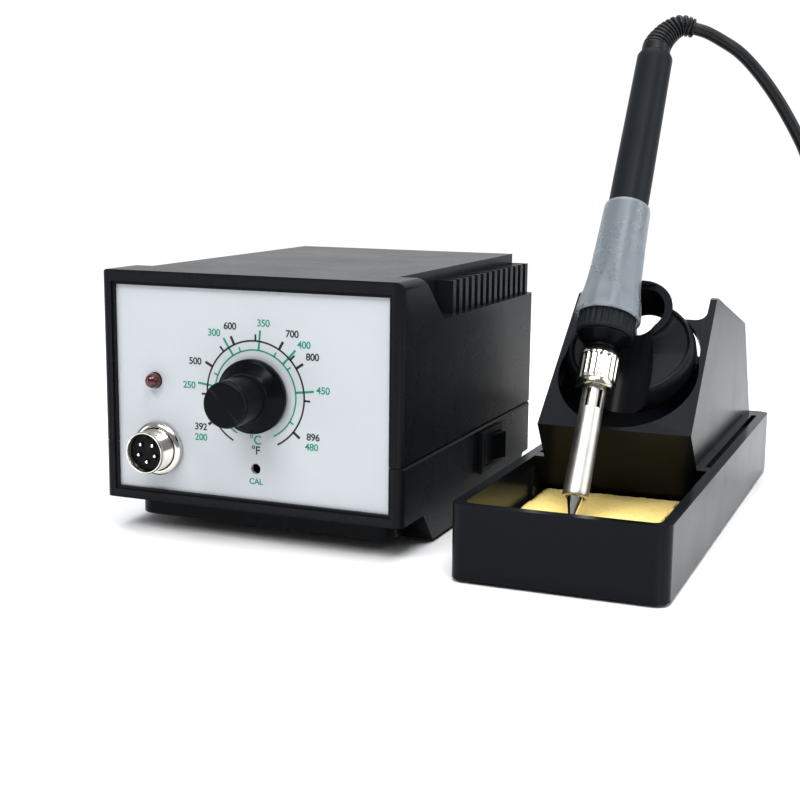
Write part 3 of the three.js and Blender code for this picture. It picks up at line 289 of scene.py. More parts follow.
def tip_paint():
    paint = Paint("tip_plating", (0.78, 0.77, 0.75), 0.17, 1.0)
    paint.tint(paint.span(paint.noise(260, 4), 0, 0.22), (0.55, 0.49, 0.42)).smudge(200, 0.05)
    return paint.bump(paint.noise(1500, 3), 0.004 * MM, 0.25).material


def ceramic_paint():
    paint = Paint("element_ceramic", (0.78, 0.76, 0.7), 0.6)
    paint.mottle(90, 0.1)
    return paint.bump(paint.noise(1200, 3), 0.02 * MM, 0.4).material


# The dark mouldings reflect less than bare plastic does.
DIM = {"Specular_IOR_Level": 0.09}
CASE = plastic("case_abs", (0.0045, 0.006, 0.0086), 0.27, 0.4, 0.01, **DIM)
HANDLE = plastic("handle_abs", (0.0155, 0.0185, 0.0225), 0.36, 0.6, 0.006, **DIM)
STAND = plastic("stand_moulding", (0.005, 0.0068, 0.0096), 0.2, 0.9, 0.004, **DIM)
RECEPTACLE = plastic("receptacle_moulding", (0.0045, 0.0053, 0.007), 0.24, 0.7, 0.005, **DIM)
BLACK = plastic("black_moulding", (0.0036, 0.0046, 0.0062), 0.22, 0.8, 0.003, **DIM)
BLUE = plastic("trimmer_moulding", (0.03, 0.12, 0.4), 0.35, 0.5, 0.004, (0.2, 0.3, 0.5))
SLEEVE_BLUE = plastic("capacitor_sleeve", (0.02, 0.035, 0.15), 0.3, 0.8, 0.004, (0.1, 0.12, 0.3))
NICKEL = plated("bright_nickel", (0.71, 0.69, 0.64), 0.17)
STAINLESS = plated("brushed_stainless", (0.58, 0.565, 0.54), 0.42)
BRASS = plated("machined_brass", (0.6, 0.36, 0.1), 0.3)
ALUMINIUM = plated("raw_aluminium", (0.42, 0.43, 0.45), 0.38, (1, 1, 0.05))
STEEL = steel_paint()
PANEL = panel_paint()
GREEN_INK = ink("print_green", (0.012, 0.26, 0.17))
DARK_INK = ink("print_dark", (0.012, 0.013, 0.016))
LED = led_paint()
RUBBER = rubber_paint("foot_rubber", (0.011, 0.011, 0.012), 0.7)
CORD = rubber_paint("cord_rubber", (0.0075, 0.0085, 0.011), 0.36)
BOARD = board_paint()
CORE = core_paint()
TAPE = tape_paint()
SPONGE = sponge_paint()
GRIP = grip_paint()
TIP = tip_paint()
CERAMIC = ceramic_paint()


# ---- mesh helpers ----
def piece(name, verts, faces, paint, smooth=True, sharp=35):
    mesh = bpy.data.meshes.new(name)
    mesh.from_pydata([tuple(v) for v in verts], [], faces)
    mesh.validate()
    if smooth:
        mesh.polygons.foreach_set("use_smooth", [True] * len(mesh.polygons))
        mesh.set_sharp_from_angle(angle=math.radians(sharp))
    mesh.materials.append(paint)
    made = bpy.data.objects.new(name, mesh)
    bpy.context.scene.collection.objects.link(made)
    return made


def join(name, pieces):
    """One object from several, in the row frame."""
    total = bmesh.new()
    paint = pieces[0].data.materials[0]
    for part in pieces:
        part.data.transform(part.matrix_world)
        total.from_mesh(part.data)
        bpy.data.objects.remove(part)
    mesh = bpy.data.meshes.new(name)
    total.to_mesh(mesh)
    total.free()
    mesh.materials.append(paint)
    made = bpy.data.objects.new(name, mesh)
    bpy.context.scene.collection.objects.link(made)
    return made


def revolve(name, profile, paint, matrix, sides=96, shape=None, sharp=35):
    """A turned piece round local Z.

    The profile, (radius, height) in mm, runs from axis to axis or closes on itself.
    shape(angle, radius, height) may change a radius, as for flutes.
    """
    on_axis = profile[0][0] == 0
    rows = profile[1:-1] if on_axis else profile
    verts = []
    for radius, height in rows:
        for k in range(sides):
            angle = 2 * math.pi * k / sides
            r = shape(angle, radius, height) if shape else radius
            verts.append(Vector((r * math.cos(angle), r * math.sin(angle), height)) * MM)
    faces = []
    last = len(rows) if not on_axis else len(rows) - 1
    for i in range(last):
        a, b = i * sides, (i + 1) % len(rows) * sides
        for k in range(sides):
            n = (k + 1) % sides
            faces.append((a + k, a + n, b + n, b + k))
    if on_axis:
        verts += [Vector((0, 0, profile[0][1])) * MM, Vector((0, 0, profile[-1][1])) * MM]
        end = (len(rows) - 1) * sides
        for k in range(sides):
            n = (k + 1) % sides
            faces.append((len(verts) - 2, n, k))
            faces.append((len(verts) - 1, end + k, end + n))
    verts = [matrix @ v for v in verts]
    return piece(name, verts, faces, paint, True, sharp)


def rounded(profile, radius=0.4, steps=3):
    """A profile whose corners are softened, except those on the axis."""
    out = []
    closed = profile[0][0] != 0
    count = len(profile)
    for i, point in enumerate(profile):
        if not closed and i in (0, count - 1):
            out.append(point)
            continue
        here, before, after = Vector(point), Vector(profile[i - 1]), Vector(profile[(i + 1) % count])
        reach = min(radius, (before - here).length * 0.45, (after - here).length * 0.45)
        a = here + (before - here).normalized() * reach
        b = here + (after - here).normalized() * reach
        for step in range(steps + 1):
            t = step / steps
            out.append(tuple(a * (1 - t) ** 2 + here * 2 * t * (1 - t) + b * t ** 2))
    return out


def along_y(point, flip=False):
    """Local +Z goes to -Y, out of the front panel, or to +Y when flipped."""
    turn = Matrix.Rotation(math.radians(-90 if flip else 90), 4, "X")
    return Matrix.Translation(point) @ turn


def smooth_curve(points, step):
    """Points every step along a centripetal Catmull-Rom curve through the given ones."""
    ends = [points[0] * 2 - points[1], *points, points[-1] * 2 - points[-2]]
    dense = []
    for i in range(1, len(ends) - 2):
        p0, p1, p2, p3 = ends[i - 1:i + 3]
        t0 = 0.0
        t1 = t0 + max((p1 - p0).length, 1e-9) ** 0.5
        t2 = t1 + max((p2 - p1).length, 1e-9) ** 0.5
        t3 = t2 + max((p3 - p2).length, 1e-9) ** 0.5
        for k in range(24):
            t = t1 + (t2 - t1) * k / 24
            a1 = p0 * ((t1 - t) / (t1 - t0)) + p1 * ((t - t0) / (t1 - t0))
            a2 = p1 * ((t2 - t) / (t2 - t1)) + p2 * ((t - t1) / (t2 - t1))
            a3 = p2 * ((t3 - t) / (t3 - t2)) + p3 * ((t - t2) / (t3 - t2))
            b1 = a1 * ((t2 - t) / (t2 - t0)) + a2 * ((t - t0) / (t2 - t0))
            b2 = a2 * ((t3 - t) / (t3 - t1)) + a3 * ((t - t1) / (t3 - t1))
            dense.append(b1 * ((t2 - t) / (t2 - t1)) + b2 * ((t - t1) / (t2 - t1)))
    dense.append(points[-1])
    return resample(dense, step)


def run_length(points):
    return sum((b - a).length for a, b in zip(points, points[1:]))


def resample(points, step):
    total = run_length(points)
    count = max(2, round(total / step))
    out, travelled, i = [points[0]], 0.0, 0
    for k in range(1, count):
        target = total * k / count
        while travelled + (points[i + 1] - points[i]).length < target:
            travelled += (points[i + 1] - points[i]).length
            i += 1
        piece_length = (points[i + 1] - points[i]).length
        out.append(points[i].lerp(points[i + 1], (target - travelled) / piece_length))
    out.append(points[-1])
    return out


def tube(name, points, radius, paint, sides):
    """A round tube along points; radius is a number or a function of the distance travelled, in metres."""
    normal = (points[1] - points[0]).orthogonal().normalized()
    verts, travelled = [], 0.0
    for i, point in enumerate(points):
        before, after = points[max(i - 1, 0)], points[min(i + 1, len(points) - 1)]
        tangent = (after - before).normalized()
        normal = (normal - tangent * normal.dot(tangent)).normalized()
        side = tangent.cross(normal)
        travelled += (point - before).length
        r = radius(travelled) if callable(radius) else radius
        for k in range(sides):
            angle = 2 * math.pi * k / sides
            verts.append(point + (normal * math.cos(angle) + side * math.sin(angle)) * r)
    faces = []
    for i in range(len(points) - 1):
        for k in range(sides):
            n = (k + 1) % sides
            faces.append((i * sides + k, i * sides + n, (i + 1) * sides + n, (i + 1) * sides + k))
    verts += [points[0], points[-1]]
    end = (len(points) - 1) * sides
    for k in range(sides):
        n = (k + 1) % sides
        faces.append((len(verts) - 2, n, k))
        faces.append((len(verts) - 1, end + k, end + n))
    return piece(name, verts, faces, paint, True, 60)


# ---- cord: relief, free run, coil and plug ----
LEAN = math.radians(32.9)
TIP_AT = at(110.5, 35.8, 13.2)
IRON = Matrix.Translation(TIP_AT) @ Matrix.Rotation(-LEAN, 4, "X")
HANDLE_END = 198.3
CORD_RADIUS = 2.5 * MM
CORD_ROUTE = [
    (123.7, 155.7, 191.5), (128, 157.1, 190.2), (134, 158.6, 187), (142, 159.8, 181.6), (152, 161.7, 170.6),
    (162, 166, 155.2), (169.8, 170.5, 139), (175.5, 174, 116), (179, 176, 90), (180.8, 177, 60),
    (181.1, 177.1, 32),
]
LANDING = (181.1, 177.1)


def on_iron(height):
    return IRON @ Vector((0, 0, height * MM))


def relief_points():
    route = [on_iron(HANDLE_END - 3.2), on_iron(HANDLE_END + 0.8), on_iron(HANDLE_END + 5),
             at(113.6, 150.6, 189.4), at(118.3, 153.5, 192.6), at(123.4, 155.6, 191.6)]
    return smooth_curve(route, 0.28 * MM)


def relief_radius(travelled):
    """A plain neck and collar, then ribs that shrink towards the cord."""
    s = travelled / MM
    neck_end, ribs_start, rib_pitch, rib_depth = 3.3, 7.6, 1.72, 0.75
    if s < neck_end:
        return 3.9 * MM
    taper = 5.75 - 1.75 * max(s - 8, 0) / 18
    if s < ribs_start:
        return (5.0 + 0.75 * min((s - neck_end) / 0.6, 1)) * MM
    phase = (s - ribs_start) / rib_pitch % 1
    groove = 0.5 - 0.5 * math.cos(2 * math.pi * phase)
    return (taper - rib_depth * (1 - min(groove * 1.9, 1))) * MM


def coil_route(centre):
    """From the landing place, along the floor to the coil, round it on two layers, and out to the plug."""
    drop = at(*LANDING, 0)
    outer, inner, wraps = 35.4 * MM, 21.8 * MM, 5.44
    to_centre = Vector((centre.x - drop.x, centre.y - drop.y))
    heading = math.atan2(to_centre.y, to_centre.x) - math.asin(outer / to_centre.length)
    along = Vector((math.cos(heading), math.sin(heading), 0))
    bend, floor = 15 * MM, 2.8 * MM
    points = []
    for degrees in (0, 22, 45, 68, 90):
        a = math.radians(degrees)
        height = floor + bend * (1 - math.sin(a))
        points.append(drop + along * bend * (1 - math.cos(a)) + Vector((0, 0, height)))
    tangent = math.sqrt(to_centre.length ** 2 - outer ** 2)
    for reach in (0.55, 0.78):
        points.append(drop + along * tangent * reach + Vector((0, 0, floor)))
    start, turns, step_over, layer = heading - math.pi / 2, 2.5, 0.25, 5.3 * MM
    steps = round(wraps * 20)
    for k in range(steps + 1):
        t = wraps * k / steps
        if t < turns:
            r, z = outer + (inner - outer) * t / turns, floor
        else:
            rise = min((t - turns) / step_over, 1)
            r = inner + (outer - inner) * max(t - turns - step_over, 0) / (wraps - turns - step_over)
            z = floor + layer * rise
        angle = start + 2 * math.pi * t
        points.append(Vector((centre.x + r * math.cos(angle), centre.y + r * math.sin(angle), z)))
    return points


def make_cord():
    coil_low, coil_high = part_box("cord_coil")
    centre = (coil_low + coil_high) / 2
    plug_low, plug_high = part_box("plug_shell")
    tail = Vector(((plug_low.x + plug_high.x) / 2, plug_low.y, (plug_low.z + plug_high.z) / 2))
    route = [at(*p) for p in CORD_ROUTE] + coil_route(centre)
    route += [tail + Vector((-0.4 * MM, -5 * MM, 0)), tail + Vector((0, 1.5 * MM, 0))]
    line = smooth_curve(route, 1.6 * MM)
    cord = tube("iron_lead", line, CORD_RADIUS, CORD, 14)
    length = run_length(line)
    relief = tube("cord_relief", relief_points(), relief_radius, CORD, 28)
    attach(relief, "iron")
    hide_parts("strain_relief")
    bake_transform(cord)
    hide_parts("iron_cord", "cord_coil")
    return cord, line, length, relief, centre, tail


cord, cord_line, cord_length, cord_relief, coil_centre, plug_tail = make_cord()


PIN_CIRCLE = 3.6
PIN_ANGLES = (133, 200, 270, 340, 47)


def make_plug(tail):
    """Round plug on the cord's end: a ribbed boot, a smooth body, a knurled ring and five contacts."""
    frame_y = along_y(tail, True)
    profile = [(0, 0), (3.4, 0)]
    for i in range(6):
        low = 0.8 + i * 1.5
        radius = 3.5 + i * 0.18
        groove = radius - 0.45
        profile += [(radius, low), (radius, low + 0.9), (groove, low + 1.05), (groove, low + 1.4)]
    profile += [(4.6, 10.2), (7, 11), (7.3, 12), (7.4, 25.9), (6.6, 26.2), (6.6, 41.6), (6.3, 42), (5.8, 42),
                (5.8, 37), (0, 37)]
    shell = revolve("plug_body", profile, CORD, frame_y, 64)
    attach(shell, "stand")
    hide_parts("plug_shell")

    def knurl(angle, radius, height):
        if radius <= 9 or not 27.5 < height < 37:
            return radius
        return radius - 0.22 * (0.5 + 0.5 * math.cos(36 * angle))

    ring_profile = [(6.9, 26.5), (9, 26.5), (9.3, 26.9), (9.3, 28), (9.3, 30), (9.3, 33), (9.3, 36.5),
                    (9.3, 37.4), (8.9, 38), (6.9, 38)]
    ring = revolve("plug_collar", ring_profile, NICKEL, frame_y, 144, knurl, 60)
    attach(ring, "coupling_ring")
    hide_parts("plug_ring")
    contacts = []
    contact_profile = [(0, 36.8), (0.7, 36.8), (0.7, 40.6), (0.5, 41), (0, 41)]
    for degrees in PIN_ANGLES:
        angle = math.radians(degrees)
        offset = Vector((PIN_CIRCLE * math.cos(angle), PIN_CIRCLE * math.sin(angle), 0)) * MM
        contacts.append(revolve("contact", contact_profile, BRASS, frame_y @ Matrix.Translation(offset), 16))
    contact_set = join("plug_contacts", contacts)
    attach(contact_set, "stand")
    return shell, ring, contact_set


def make_tie(centre):
    """A flat strap round the coil's section, at the side away from the camera."""
    across, up = 9.4 * MM, 5.5 * MM
    angle = math.radians(60)
    out = Vector((math.cos(angle), math.sin(angle), 0))
    side = Vector((-out.y, out.x, 0))
    middle = Vector((centre.x, centre.y, 5.7 * MM)) + out * 28.6 * MM
    verts, faces, count = [], [], 40
    for k in range(count):
        a = 2 * math.pi * k / count
        squeeze = (abs(math.cos(a)) ** 5 + abs(math.sin(a)) ** 5) ** (-1 / 5)
        for grow in (0, 0.5 * MM):
            for half in (-2.5 * MM, 2.5 * MM):
                spot = out * (across + grow) * squeeze * math.cos(a)
                spot = spot + Vector((0, 0, (up + grow * 0.3) * squeeze * math.sin(a)))
                verts.append(middle + spot + side * half)
    for k in range(count):
        a, b = k * 4, (k + 1) % count * 4
        for i, j in ((0, 1), (1, 3), (3, 2), (2, 0)):
            faces.append((a + i, a + j, b + j, b + i))
    tie = piece("coil_tie", verts, faces, CORD, True, 50)
    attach(tie, "stand")
    return tie


plug_shell, plug_collar, plug_contacts = make_plug(plug_tail)
coil_tie = make_tie(coil_centre)


# ---- carried-over CAD nodes: welded, softened edges, and a material ----
def dress(node, paint, soften):
    item = NODES[node]
    item.data.materials.clear()
    item.data.materials.append(paint)
    item.data.polygons.foreach_set("material_index", [0] * len(item.data.polygons))
    item.data.polygons.foreach_set("use_smooth", [True] * len(item.data.polygons))
    weld = item.modifiers.new("weld", "WELD")
    weld.merge_threshold = 1e-6
    flat = item.modifiers.new("flat", "DECIMATE")
    flat.decimate_type = "DISSOLVE"
    flat.angle_limit = math.radians(0.6)
    bevel = item.modifiers.new("soften", "BEVEL")
    bevel.width = soften * MM
    bevel.segments = 2
    bevel.limit_method = "ANGLE"
    bevel.angle_limit = math.radians(32)
    bevel.harden_normals = False
    even = item.modifiers.new("even", "WEIGHTED_NORMAL")
    even.keep_sharp = True
    even.weight = 80


for name, paint, soften in (
    ("upper_shell", CASE, 0.6), ("lower_base", CASE, 0.6), ("rear_panel", CASE, 0.25),
    ("front_panel", PANEL, 0.15),
    ("stand_body", STAND, 1.1), ("iron_receptacle", RECEPTACLE, 0.45), ("power_switch_housing", BLACK, 0.4),
    ("power_switch_rocker", BLACK, 0.4), ("mains_inlet", BLACK, 0.3), ("fuse_holder", BLACK, 0.3),
    ("fuse_cap", BLACK, 0.3), ("socket_insert", BLACK, 0.15), ("potentiometer_body", STEEL, 0.2),
    ("potentiometer_shaft", NICKEL, 0.1), ("potentiometer_nut", NICKEL, 0.15), ("cal_trimmer", BLUE, 0.2),
    ("cal_trimmer_screw", BRASS, 0.08), ("circuit_board", BOARD, 0.1), ("heat_sink", ALUMINIUM, 0.15),
    ("filter_capacitor", SLEEVE_BLUE, 0.2), ("transformer_core", CORE, 0.2),
    ("transformer_bobbin", TAPE, 0.3),
    ("transformer_frame", STEEL, 0.2), ("heating_element", CERAMIC, 0.1), ("tip_barrel", STAINLESS, 0.12),
):
    dress(name, paint, soften)
for index in range(1, 5):
    dress(f"case_screw_{index}", STEEL, 0.1)
    dress(f"station_foot_{index}", RUBBER, 0.25)
    dress(f"stand_foot_{index}", RUBBER, 0.25)


def stand_in(made, body, slot_name, *nodes):
    """A finer piece takes the place of CAD nodes."""
    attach(made, body)
    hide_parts(*nodes)
    return made


# ---- front panel ----
PANEL_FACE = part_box("front_panel")[0].y
DIAL = (2.4, 55.1)


def panel_strip(points, width, lift=0.04):
    """A printed line of constant width through (x, z) points, as a thin solid on the panel."""
    verts, faces = [], []
    count = len(points)
    for i, (x, z) in enumerate(points):
        ax, az = points[max(i - 1, 0)]
        bx, bz = points[min(i + 1, count - 1)]
        length = math.hypot(bx - ax, bz - az)
        nx, nz = -(bz - az) / length * width / 2, (bx - ax) / length * width / 2
        for depth in (0, lift):
            for sign in (-1, 1):
                spot = at(x + nx * sign, 0, z + nz * sign)
                spot.y = PANEL_FACE - depth * MM
                verts.append(spot)
    for i in range(count - 1):
        a, b = i * 4, i * 4 + 4
        faces += [(a + 2, a + 3, b + 3, b + 2), (a, b, b + 1, a + 1)]
        faces += [(a, a + 2, b + 2, b), (a + 1, b + 1, b + 3, a + 3)]
    faces += [(0, 1, 3, 2), (count * 4 - 4, count * 4 - 2, count * 4 - 1, count * 4 - 3)]
    return verts, faces


def arc_points(radius, start, end, count=72):
    spots = []
    for k in range(count + 1):
        angle = math.radians(start + (end - start) * k / count)
        spots.append((DIAL[0] + radius * math.sin(angle), DIAL[1] + radius * math.cos(angle)))
    return spots


def tick_points(angle, inner, outer):
    a = math.radians(angle)
    return [(DIAL[0] + r * math.sin(a), DIAL[1] + r * math.cos(a)) for r in (inner, outer)]


def panel_text(words, x, z, height, paint):
    data = bpy.data.curves.new("label", "FONT")
    data.body = words
    data.size = height * 1.37 * MM
    data.align_x = "CENTER"
    data.align_y = "CENTER"
    data.extrude = 0.02 * MM
    data.offset = 0.06 * MM
    data.space_character = 0.96
    label = bpy.data.objects.new("label", data)
    bpy.context.scene.collection.objects.link(label)
    place = at(x, 0, z)
    place.y = PANEL_FACE - 0.02 * MM
    label.matrix_world = Matrix.Translation(place) @ Matrix.Rotation(math.radians(90), 4, "X")
    bpy.context.view_layer.update()
    mesh = bpy.data.meshes.new_from_object(label.evaluated_get(bpy.context.evaluated_depsgraph_get()))
    mesh.transform(label.matrix_world)
    bpy.data.objects.remove(label)
    mesh.materials.clear()
    mesh.materials.append(paint)
    made = bpy.data.objects.new("label", mesh)
    bpy.context.scene.collection.objects.link(made)
    return made


def print_set(name, strips, words, paint):
    parts = []
    for points, width in strips:
        verts, faces = panel_strip(points, width)
        parts.append(piece("strip", verts, faces, paint, False))
    for text, dx, dz, height in words:
        parts.append(panel_text(text, DIAL[0] + dx, DIAL[1] + dz, height, paint))
    made = join(name, parts)
    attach(made, "station")
    return made


DARK_STRIPS = [(arc_points(19.45, -152.5, 153), 0.62)]
DARK_STRIPS += [(tick_points(a, 19.4, 22.7), 0.95) for a in (-122.5, -62, -25, 29.6, 57, 129)]
DARK_STRIPS += [(tick_points(a, 19.4, 21.8), 0.7) for a in (-93, -40, 0.9, 46, 92)]
DARK_WORDS = [("392", -22.3, -13.4, 2.6), ("500", -24.3, 10.6, 2.6), ("600", -9.9, 24.1, 2.6),
              ("700", 14.8, 22.6, 2.6), ("800", 22.7, 14.9, 2.6), ("896", 22.9, -13.6, 2.6),
              ("°F", 0.1, -20.3, 3.1)]
GREEN_STRIPS = [(arc_points(16.2, -153, 153), 0.56)]
GREEN_STRIPS += [(tick_points(a, 16.2, 23.4), 0.78) for a in (-83, -32.5, 5.4, 43.4, 83)]
GREEN_STRIPS += [(tick_points(a, 16.2, 17.9), 0.6) for a in (-67.7, -20.6, 28.2, 52.4, 122)]
GREEN_WORDS = [("200", -22.3, -17.3, 2.6), ("250", -26.9, 1.7, 2.6), ("300", -16.4, 21.4, 2.6),
               ("350", 3.5, 25.8, 2.6), ("400", 19.4, 19.0, 2.6), ("450", 26.8, 3.3, 2.6),
               ("480", 22.3, -17.2, 2.6), ("°C", 0.0, -16.5, 3.3), ("CAL", 0.1, -31.7, 2.2)]
print_set("panel_print_dark", DARK_STRIPS, DARK_WORDS, DARK_INK)
print_set("panel_print_green", GREEN_STRIPS, GREEN_WORDS, GREEN_INK)


def make_led():
    low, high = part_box("led_lens")
    centre = (low + high) / 2
    spot = Vector((centre.x, PANEL_FACE, centre.z))
    profile = [(0, -8), (2.9, -8), (2.9, -1.2), (2.7, -1.1), (2.7, 1.9)]
    for k in range(1, 9):
        a = math.radians(90 * k / 8)
        profile.append((2.7 * math.cos(a) if k < 8 else 0, 1.9 + 2.7 * math.sin(a)))
    return stand_in(revolve("indicator_lens", profile, LED, along_y(spot), 48), "station", "led", "led_lens")


def make_socket():
    low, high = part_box("socket_shell")
    spot = Vector(((low.x + high.x) / 2, PANEL_FACE, (low.z + high.z) / 2))
    place = along_y(spot)
    outside = [(6.9, -11.8), (7.6, -11.8), (7.6, 3)]
    height = 3.2
    while height < 9.6:
        outside += [(7.35, height), (7.7, height + 0.35), (7.7, height + 0.45), (7.35, height + 0.8)]
        height += 0.95
    outside += [(7.7, 9.9), (7.7, 10.5), (7.45, 11), (7.1, 11), (6.9, 10.7)]
    shell = revolve("socket_barrel", outside, NICKEL, place, 96)
    stand_in(shell, "station", "bright_metal", "socket_shell")
    nut_profile = [(8, GAP_MM), (9.9, GAP_MM), (9.9, 2.1), (9.4, 2.6), (8.9, 3), (8.3, 3.2), (8, 3.1)]
    nut = revolve("socket_flange", rounded(nut_profile, 0.2), NICKEL, place, 96)
    stand_in(nut, "station", "bright_metal", "socket_nut")
    for i in range(1, 6):
        pin_low, pin_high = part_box(f"socket_pin_{i}")
        centre = (pin_low + pin_high) / 2
        root = along_y(Vector((centre.x, pin_high.y, centre.z)))
        length = (pin_high.y - pin_low.y) / MM
        profile = [(0, 0), (0.7, 0), (0.7, length - 0.6), (0.6, length - 0.2), (0.35, length), (0, length)]
        pin = revolve(f"socket_contact_{i}", profile, NICKEL, root, 24)
        stand_in(pin, "station", "bright_metal", f"socket_pin_{i}")


def make_knob():
    low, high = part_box("temperature_knob")
    cap_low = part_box("knob_cap")[0]
    centre = (low + high) / 2
    back = high.y
    length = (back - cap_low.y) / MM
    place = along_y(Vector((centre.x, back, centre.z)))
    profile = [(3.1, 0.6), (3.1, 12.6), (0.01, 12.7), (0.01, length - 3.9), (5.2, length - 4),
               (5.2, length - 2.2), (8.0, length - 2.15), (8.25, length - 2.4), (8.62, 8.4), (8.75, 7.4),
               (9.2, 6.7),
               (9.8, 6.25), (12.3, 3.9), (12.5, 3.7), (12.35, 3.35), (12.75, 3.15), (13.3, 2.9),
               (13.42, 2.6), (13.42, 0.7), (13.1, 0.2), (12.6, 0), (7.4, 0), (7.2, 0.2), (7.2, 4),
               (3.3, 4), (3.3, 0.6)]
    knob = revolve("dial_knob", profile, BLACK, place, 128)
    stand_in(knob, "dial", "black_plastic", "temperature_knob")
    top = length
    cap_profile = [(0, top - 3.4), (5, top - 3.4), (5, top - 1.75), (8.15, top - 1.7), (8.2, top - 0.9),
                   (7.95, top - 0.35), (7.6, top - 0.06), (7.3, top), (7, top), (0, top)]
    cap = revolve("dial_cap", cap_profile, BLACK, place, 128)
    stand_in(cap, "dial", "black_plastic", "knob_cap")


make_led()
make_socket()
make_knob()


# ---- iron ----
def flutes(count, depth, low, high, width=0.35, over=0.0):
    """A shape function: narrow grooves along the axis between two heights, on radii over a limit."""
    def cut(angle, radius, height):
        if not low < height < high or radius < over:
            return radius
        near = abs((angle * count / (2 * math.pi) + 0.5) % 1 - 0.5) / width
        return radius - depth * max(0, 1 - near * near)
    return cut


def make_iron():
    tip = [(0, 0), (0.9, 0), (1.2, 0.25), (1.5, 1.5), (3.2, 9), (3.2, 40), (3.9, 40.2), (3.9, 41.8),
           (2.2, 41.8), (2.2, 16.2), (0, 16)]
    stand_in(revolve("bit", rounded(tip, 0.25), TIP, IRON, 64), "iron", "tip_metal", "iron_tip")
    nut = [(4.95, 52.9), (6.85, 52.9), (6.85, 50.7), (4.65, 50.7), (4.65, 50.4), (6.85, 50.4), (7.1, 50.65),
           (7.1, 52.3), (6.75, 52.5), (6.75, 52.75), (7.4, 53.1), (7.4, 54), (7.4, 55), (7.4, 58),
           (7.4, 61.5), (7.4, 62.6), (7.4, 63.2), (7.1, 63.8), (5.7, 66.1), (4.95, 66.2)]
    knurl = flutes(20, 0.4, 53.6, 63, 0.45, 7.2)
    stand_in(revolve("clamp_nut", nut, NICKEL, IRON, 160, knurl, 50), "iron", "bright_metal", "barrel_nut")
    neck = [(3.4, 53.4), (4.6, 53.4), (4.6, 66.4), (5.2, 66.7), (5.3, 67), (5.3, 67.3), (5.6, 67.6),
            (6.4, 67.9), (6.9, 68.2), (9.9, 71.2), (9.9, 71.7), (3.4, 71.7)]
    stand_in(revolve("iron_neck", rounded(neck, 0.2), BLACK, IRON, 96), "iron", "black_plastic", "nipple")
    collar = [(5.2, 72), (10.3, 72), (10.7, 72.4), (10.8, 72.9), (10.8, 73.7), (10.8, 75.5), (10.8, 79.5),
              (10.8, 83.5), (7.2, 85.5), (7.2, 91.5), (5.2, 91.5)]
    ridges = flutes(28, 0.5, 73.1, 84, 0.42, 9)
    made = revolve("iron_collar", collar, HANDLE, IRON, 224, ridges, 45)
    stand_in(made, "iron", "case_plastic", "handle_collar")
    end = HANDLE_END
    grip = [(5.6, 91.8), (7.7, 91.8), (7.65, 118), (7.6, 140), (7.35, 165), (7.1, end - 4), (7.1, end - 1),
            (6.8, end - 0.3), (6.3, end), (4.5, end), (4.2, end - 0.4), (4.2, end - 6), (5.6, end - 6)]
    stand_in(revolve("iron_handle", grip, HANDLE, IRON, 96), "iron", "handle_plastic", "handle")
    sleeve = [(11.3, 84), (12.1, 84), (12.35, 84.3), (12.4, 84.9), (12.35, 86), (12.15, 88), (11.85, 90.2),
              (11.4, 92.2), (10.9, 94.2), (10.5, 97), (10.1, 101), (9.8, 107), (9.4, 116), (9.15, 124),
              (8.95, 130.8), (8.8, 131.8), (8.45, 132.2), (8.1, 132.1), (8, 131.4), (8, 98), (9.2, 95),
              (11.2, 91)]
    sleeve = [(radius, height - 4.5) for radius, height in sleeve]
    channels = flutes(8, 0.55, 80.7, 95.5, 0.3, 9.9)
    made = revolve("iron_grip", sleeve, GRIP, IRON, 160, channels, 60)
    stand_in(made, "iron", "grip_silicone", "grip_sleeve")


make_iron()


# ---- sponge ----
def make_sponge():
    """A die-cut sponge block: softened edges, uneven faces and open pores."""
    low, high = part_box("cleaning_sponge")
    size = high - low
    shell = bmesh.new()
    bmesh.ops.create_cube(shell, size=1)
    for vert in shell.verts:
        vert.co = Vector((v * s for v, s in zip(vert.co, size)))
    bmesh.ops.bevel(shell, geom=shell.edges[:], offset=1.0 * MM, segments=3, profile=0.6, affect="EDGES")
    for axis, pitch in ((0, 1.0), (1, 1.0), (2, 1.1)):
        count = int(size[axis] / (pitch * MM))
        for k in range(1, count):
            cut = -size[axis] / 2 + size[axis] * k / count
            where, across = Vector(), Vector()
            where[axis], across[axis] = cut, 1
            bmesh.ops.bisect_plane(shell, geom=shell.verts[:] + shell.edges[:] + shell.faces[:],
                                   plane_co=where, plane_no=across)
    shell.normal_update()
    centre = (low + high) / 2
    moves = []
    for vert in shell.verts:
        spot = vert.co * 1000
        slow = noise.noise(spot * 0.07) * 0.25 + noise.noise(spot * 0.3) * 0.1
        pores = noise.cell(spot * 0.9) * 0.12 + noise.noise(spot * 1.3) * 0.08
        inward = 0.35 - slow + pores * (0.4 if vert.normal.z < -0.5 else 1)
        moves.append(vert.co - vert.normal * max(inward, 0.02) * MM)
    for vert, spot in zip(shell.verts, moves):
        vert.co = spot + centre
    mesh = bpy.data.meshes.new("sponge")
    shell.to_mesh(mesh)
    shell.free()
    mesh.polygons.foreach_set("use_smooth", [True] * len(mesh.polygons))
    mesh.materials.append(SPONGE)
    made = bpy.data.objects.new("sponge", mesh)
    bpy.context.scene.collection.objects.link(made)
    stand_in(made, "sponge", "sponge", "cleaning_sponge")


make_sponge()


# ---- stage, lights and world ----
def make_stage():
    floor_paint = Paint("floor_paper", (0.93, 0.93, 0.935), 0.6)
    floor_paint.bump(floor_paint.noise(600, 2), 0.01 * MM, 0.1)
    wide, near, far, z = 1.4, -1.6, 0.85, -0.0002
    verts = [(-wide, near, z), (wide, near, z), (wide, far, z), (-wide, far, z)]
    floor = piece("floor", verts, [(0, 1, 2, 3)], floor_paint.material, False)


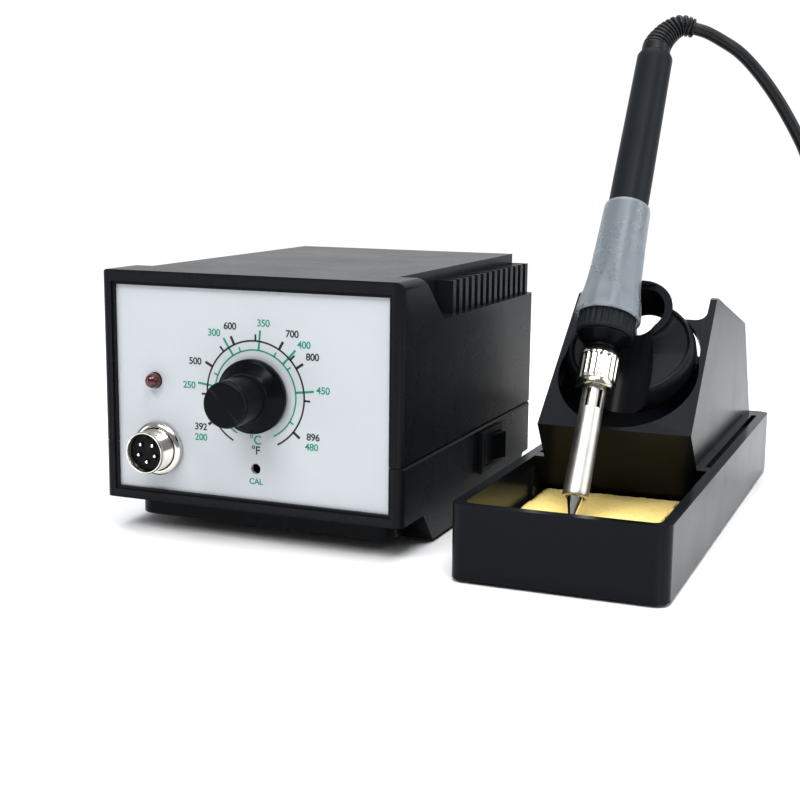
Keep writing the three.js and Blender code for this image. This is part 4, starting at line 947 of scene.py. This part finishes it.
def area_light(name, spot, target, width, height, power, color=(1, 1, 1)):
    data = bpy.data.lights.new(name, "AREA")
    data.shape = "RECTANGLE"
    data.size, data.size_y = width, height
    data.energy = power
    data.color = color
    lamp = bpy.data.objects.new(name, data)
    lamp.location = spot
    lamp.rotation_mode = "QUATERNION"
    lamp.rotation_quaternion = (Vector(target) - Vector(spot)).to_track_quat("-Z", "Y")
    bpy.context.scene.collection.objects.link(lamp)


def make_world():
    """White behind the object as seen; for its light, bright behind and above, and dim in front."""
    world = bpy.data.worlds.new("studio")
    world.use_nodes = True
    tree = world.node_tree
    seen = tree.nodes["Background"]
    seen.inputs["Color"].default_value = (1, 1, 1, 1)
    seen.inputs["Strength"].default_value = 1.02
    glow = tree.nodes.new("ShaderNodeBackground")
    glow.inputs["Color"].default_value = (0.97, 0.985, 1, 1)
    split = tree.nodes.new("ShaderNodeSeparateXYZ")
    tree.links.new(tree.nodes.new("ShaderNodeTexCoord").outputs["Generated"], split.inputs[0])
    ramp = tree.nodes.new("ShaderNodeMapRange")
    for key, value in (("From Min", -0.5), ("From Max", 0.6), ("To Min", 0.32), ("To Max", 0.95)):
        ramp.inputs[key].default_value = value
    tree.links.new(split.outputs["Y"], ramp.inputs["Value"])
    tree.links.new(ramp.outputs["Result"], glow.inputs["Strength"])
    choose = tree.nodes.new("ShaderNodeMixShader")
    tree.links.new(tree.nodes.new("ShaderNodeLightPath").outputs["Is Camera Ray"], choose.inputs["Fac"])
    tree.links.new(glow.outputs[0], choose.inputs[1])
    tree.links.new(seen.outputs[0], choose.inputs[2])
    tree.links.new(choose.outputs[0], tree.nodes["World Output"].inputs["Surface"])
    bpy.context.scene.world = world
    bpy.context.scene.view_settings.view_transform = "Standard"
    bpy.context.scene.view_settings.gamma = 0.86


make_stage()
make_world()
area_light("overhead_softbox", (0.1, 0.15, 1.5), (0, 0, 0.05), 1.5, 1.2, 15)
area_light("right_softbox", (1.5, 0.1, 0.8), (0.05, 0, 0.08), 1.0, 1.1, 10)
area_light("front_softbox", (-0.3, -1.45, 1.6), (0, 0, 0.05), 1.1, 0.8, 27)
area_light("tray_softbox", (0.32, -0.5, 0.85), (0.07, -0.05, 0.02), 0.3, 0.3, 3.2)
area_light("left_strip", (-1.3, -0.9, 0.35), (0, 0, 0.1), 0.25, 0.8, 3)
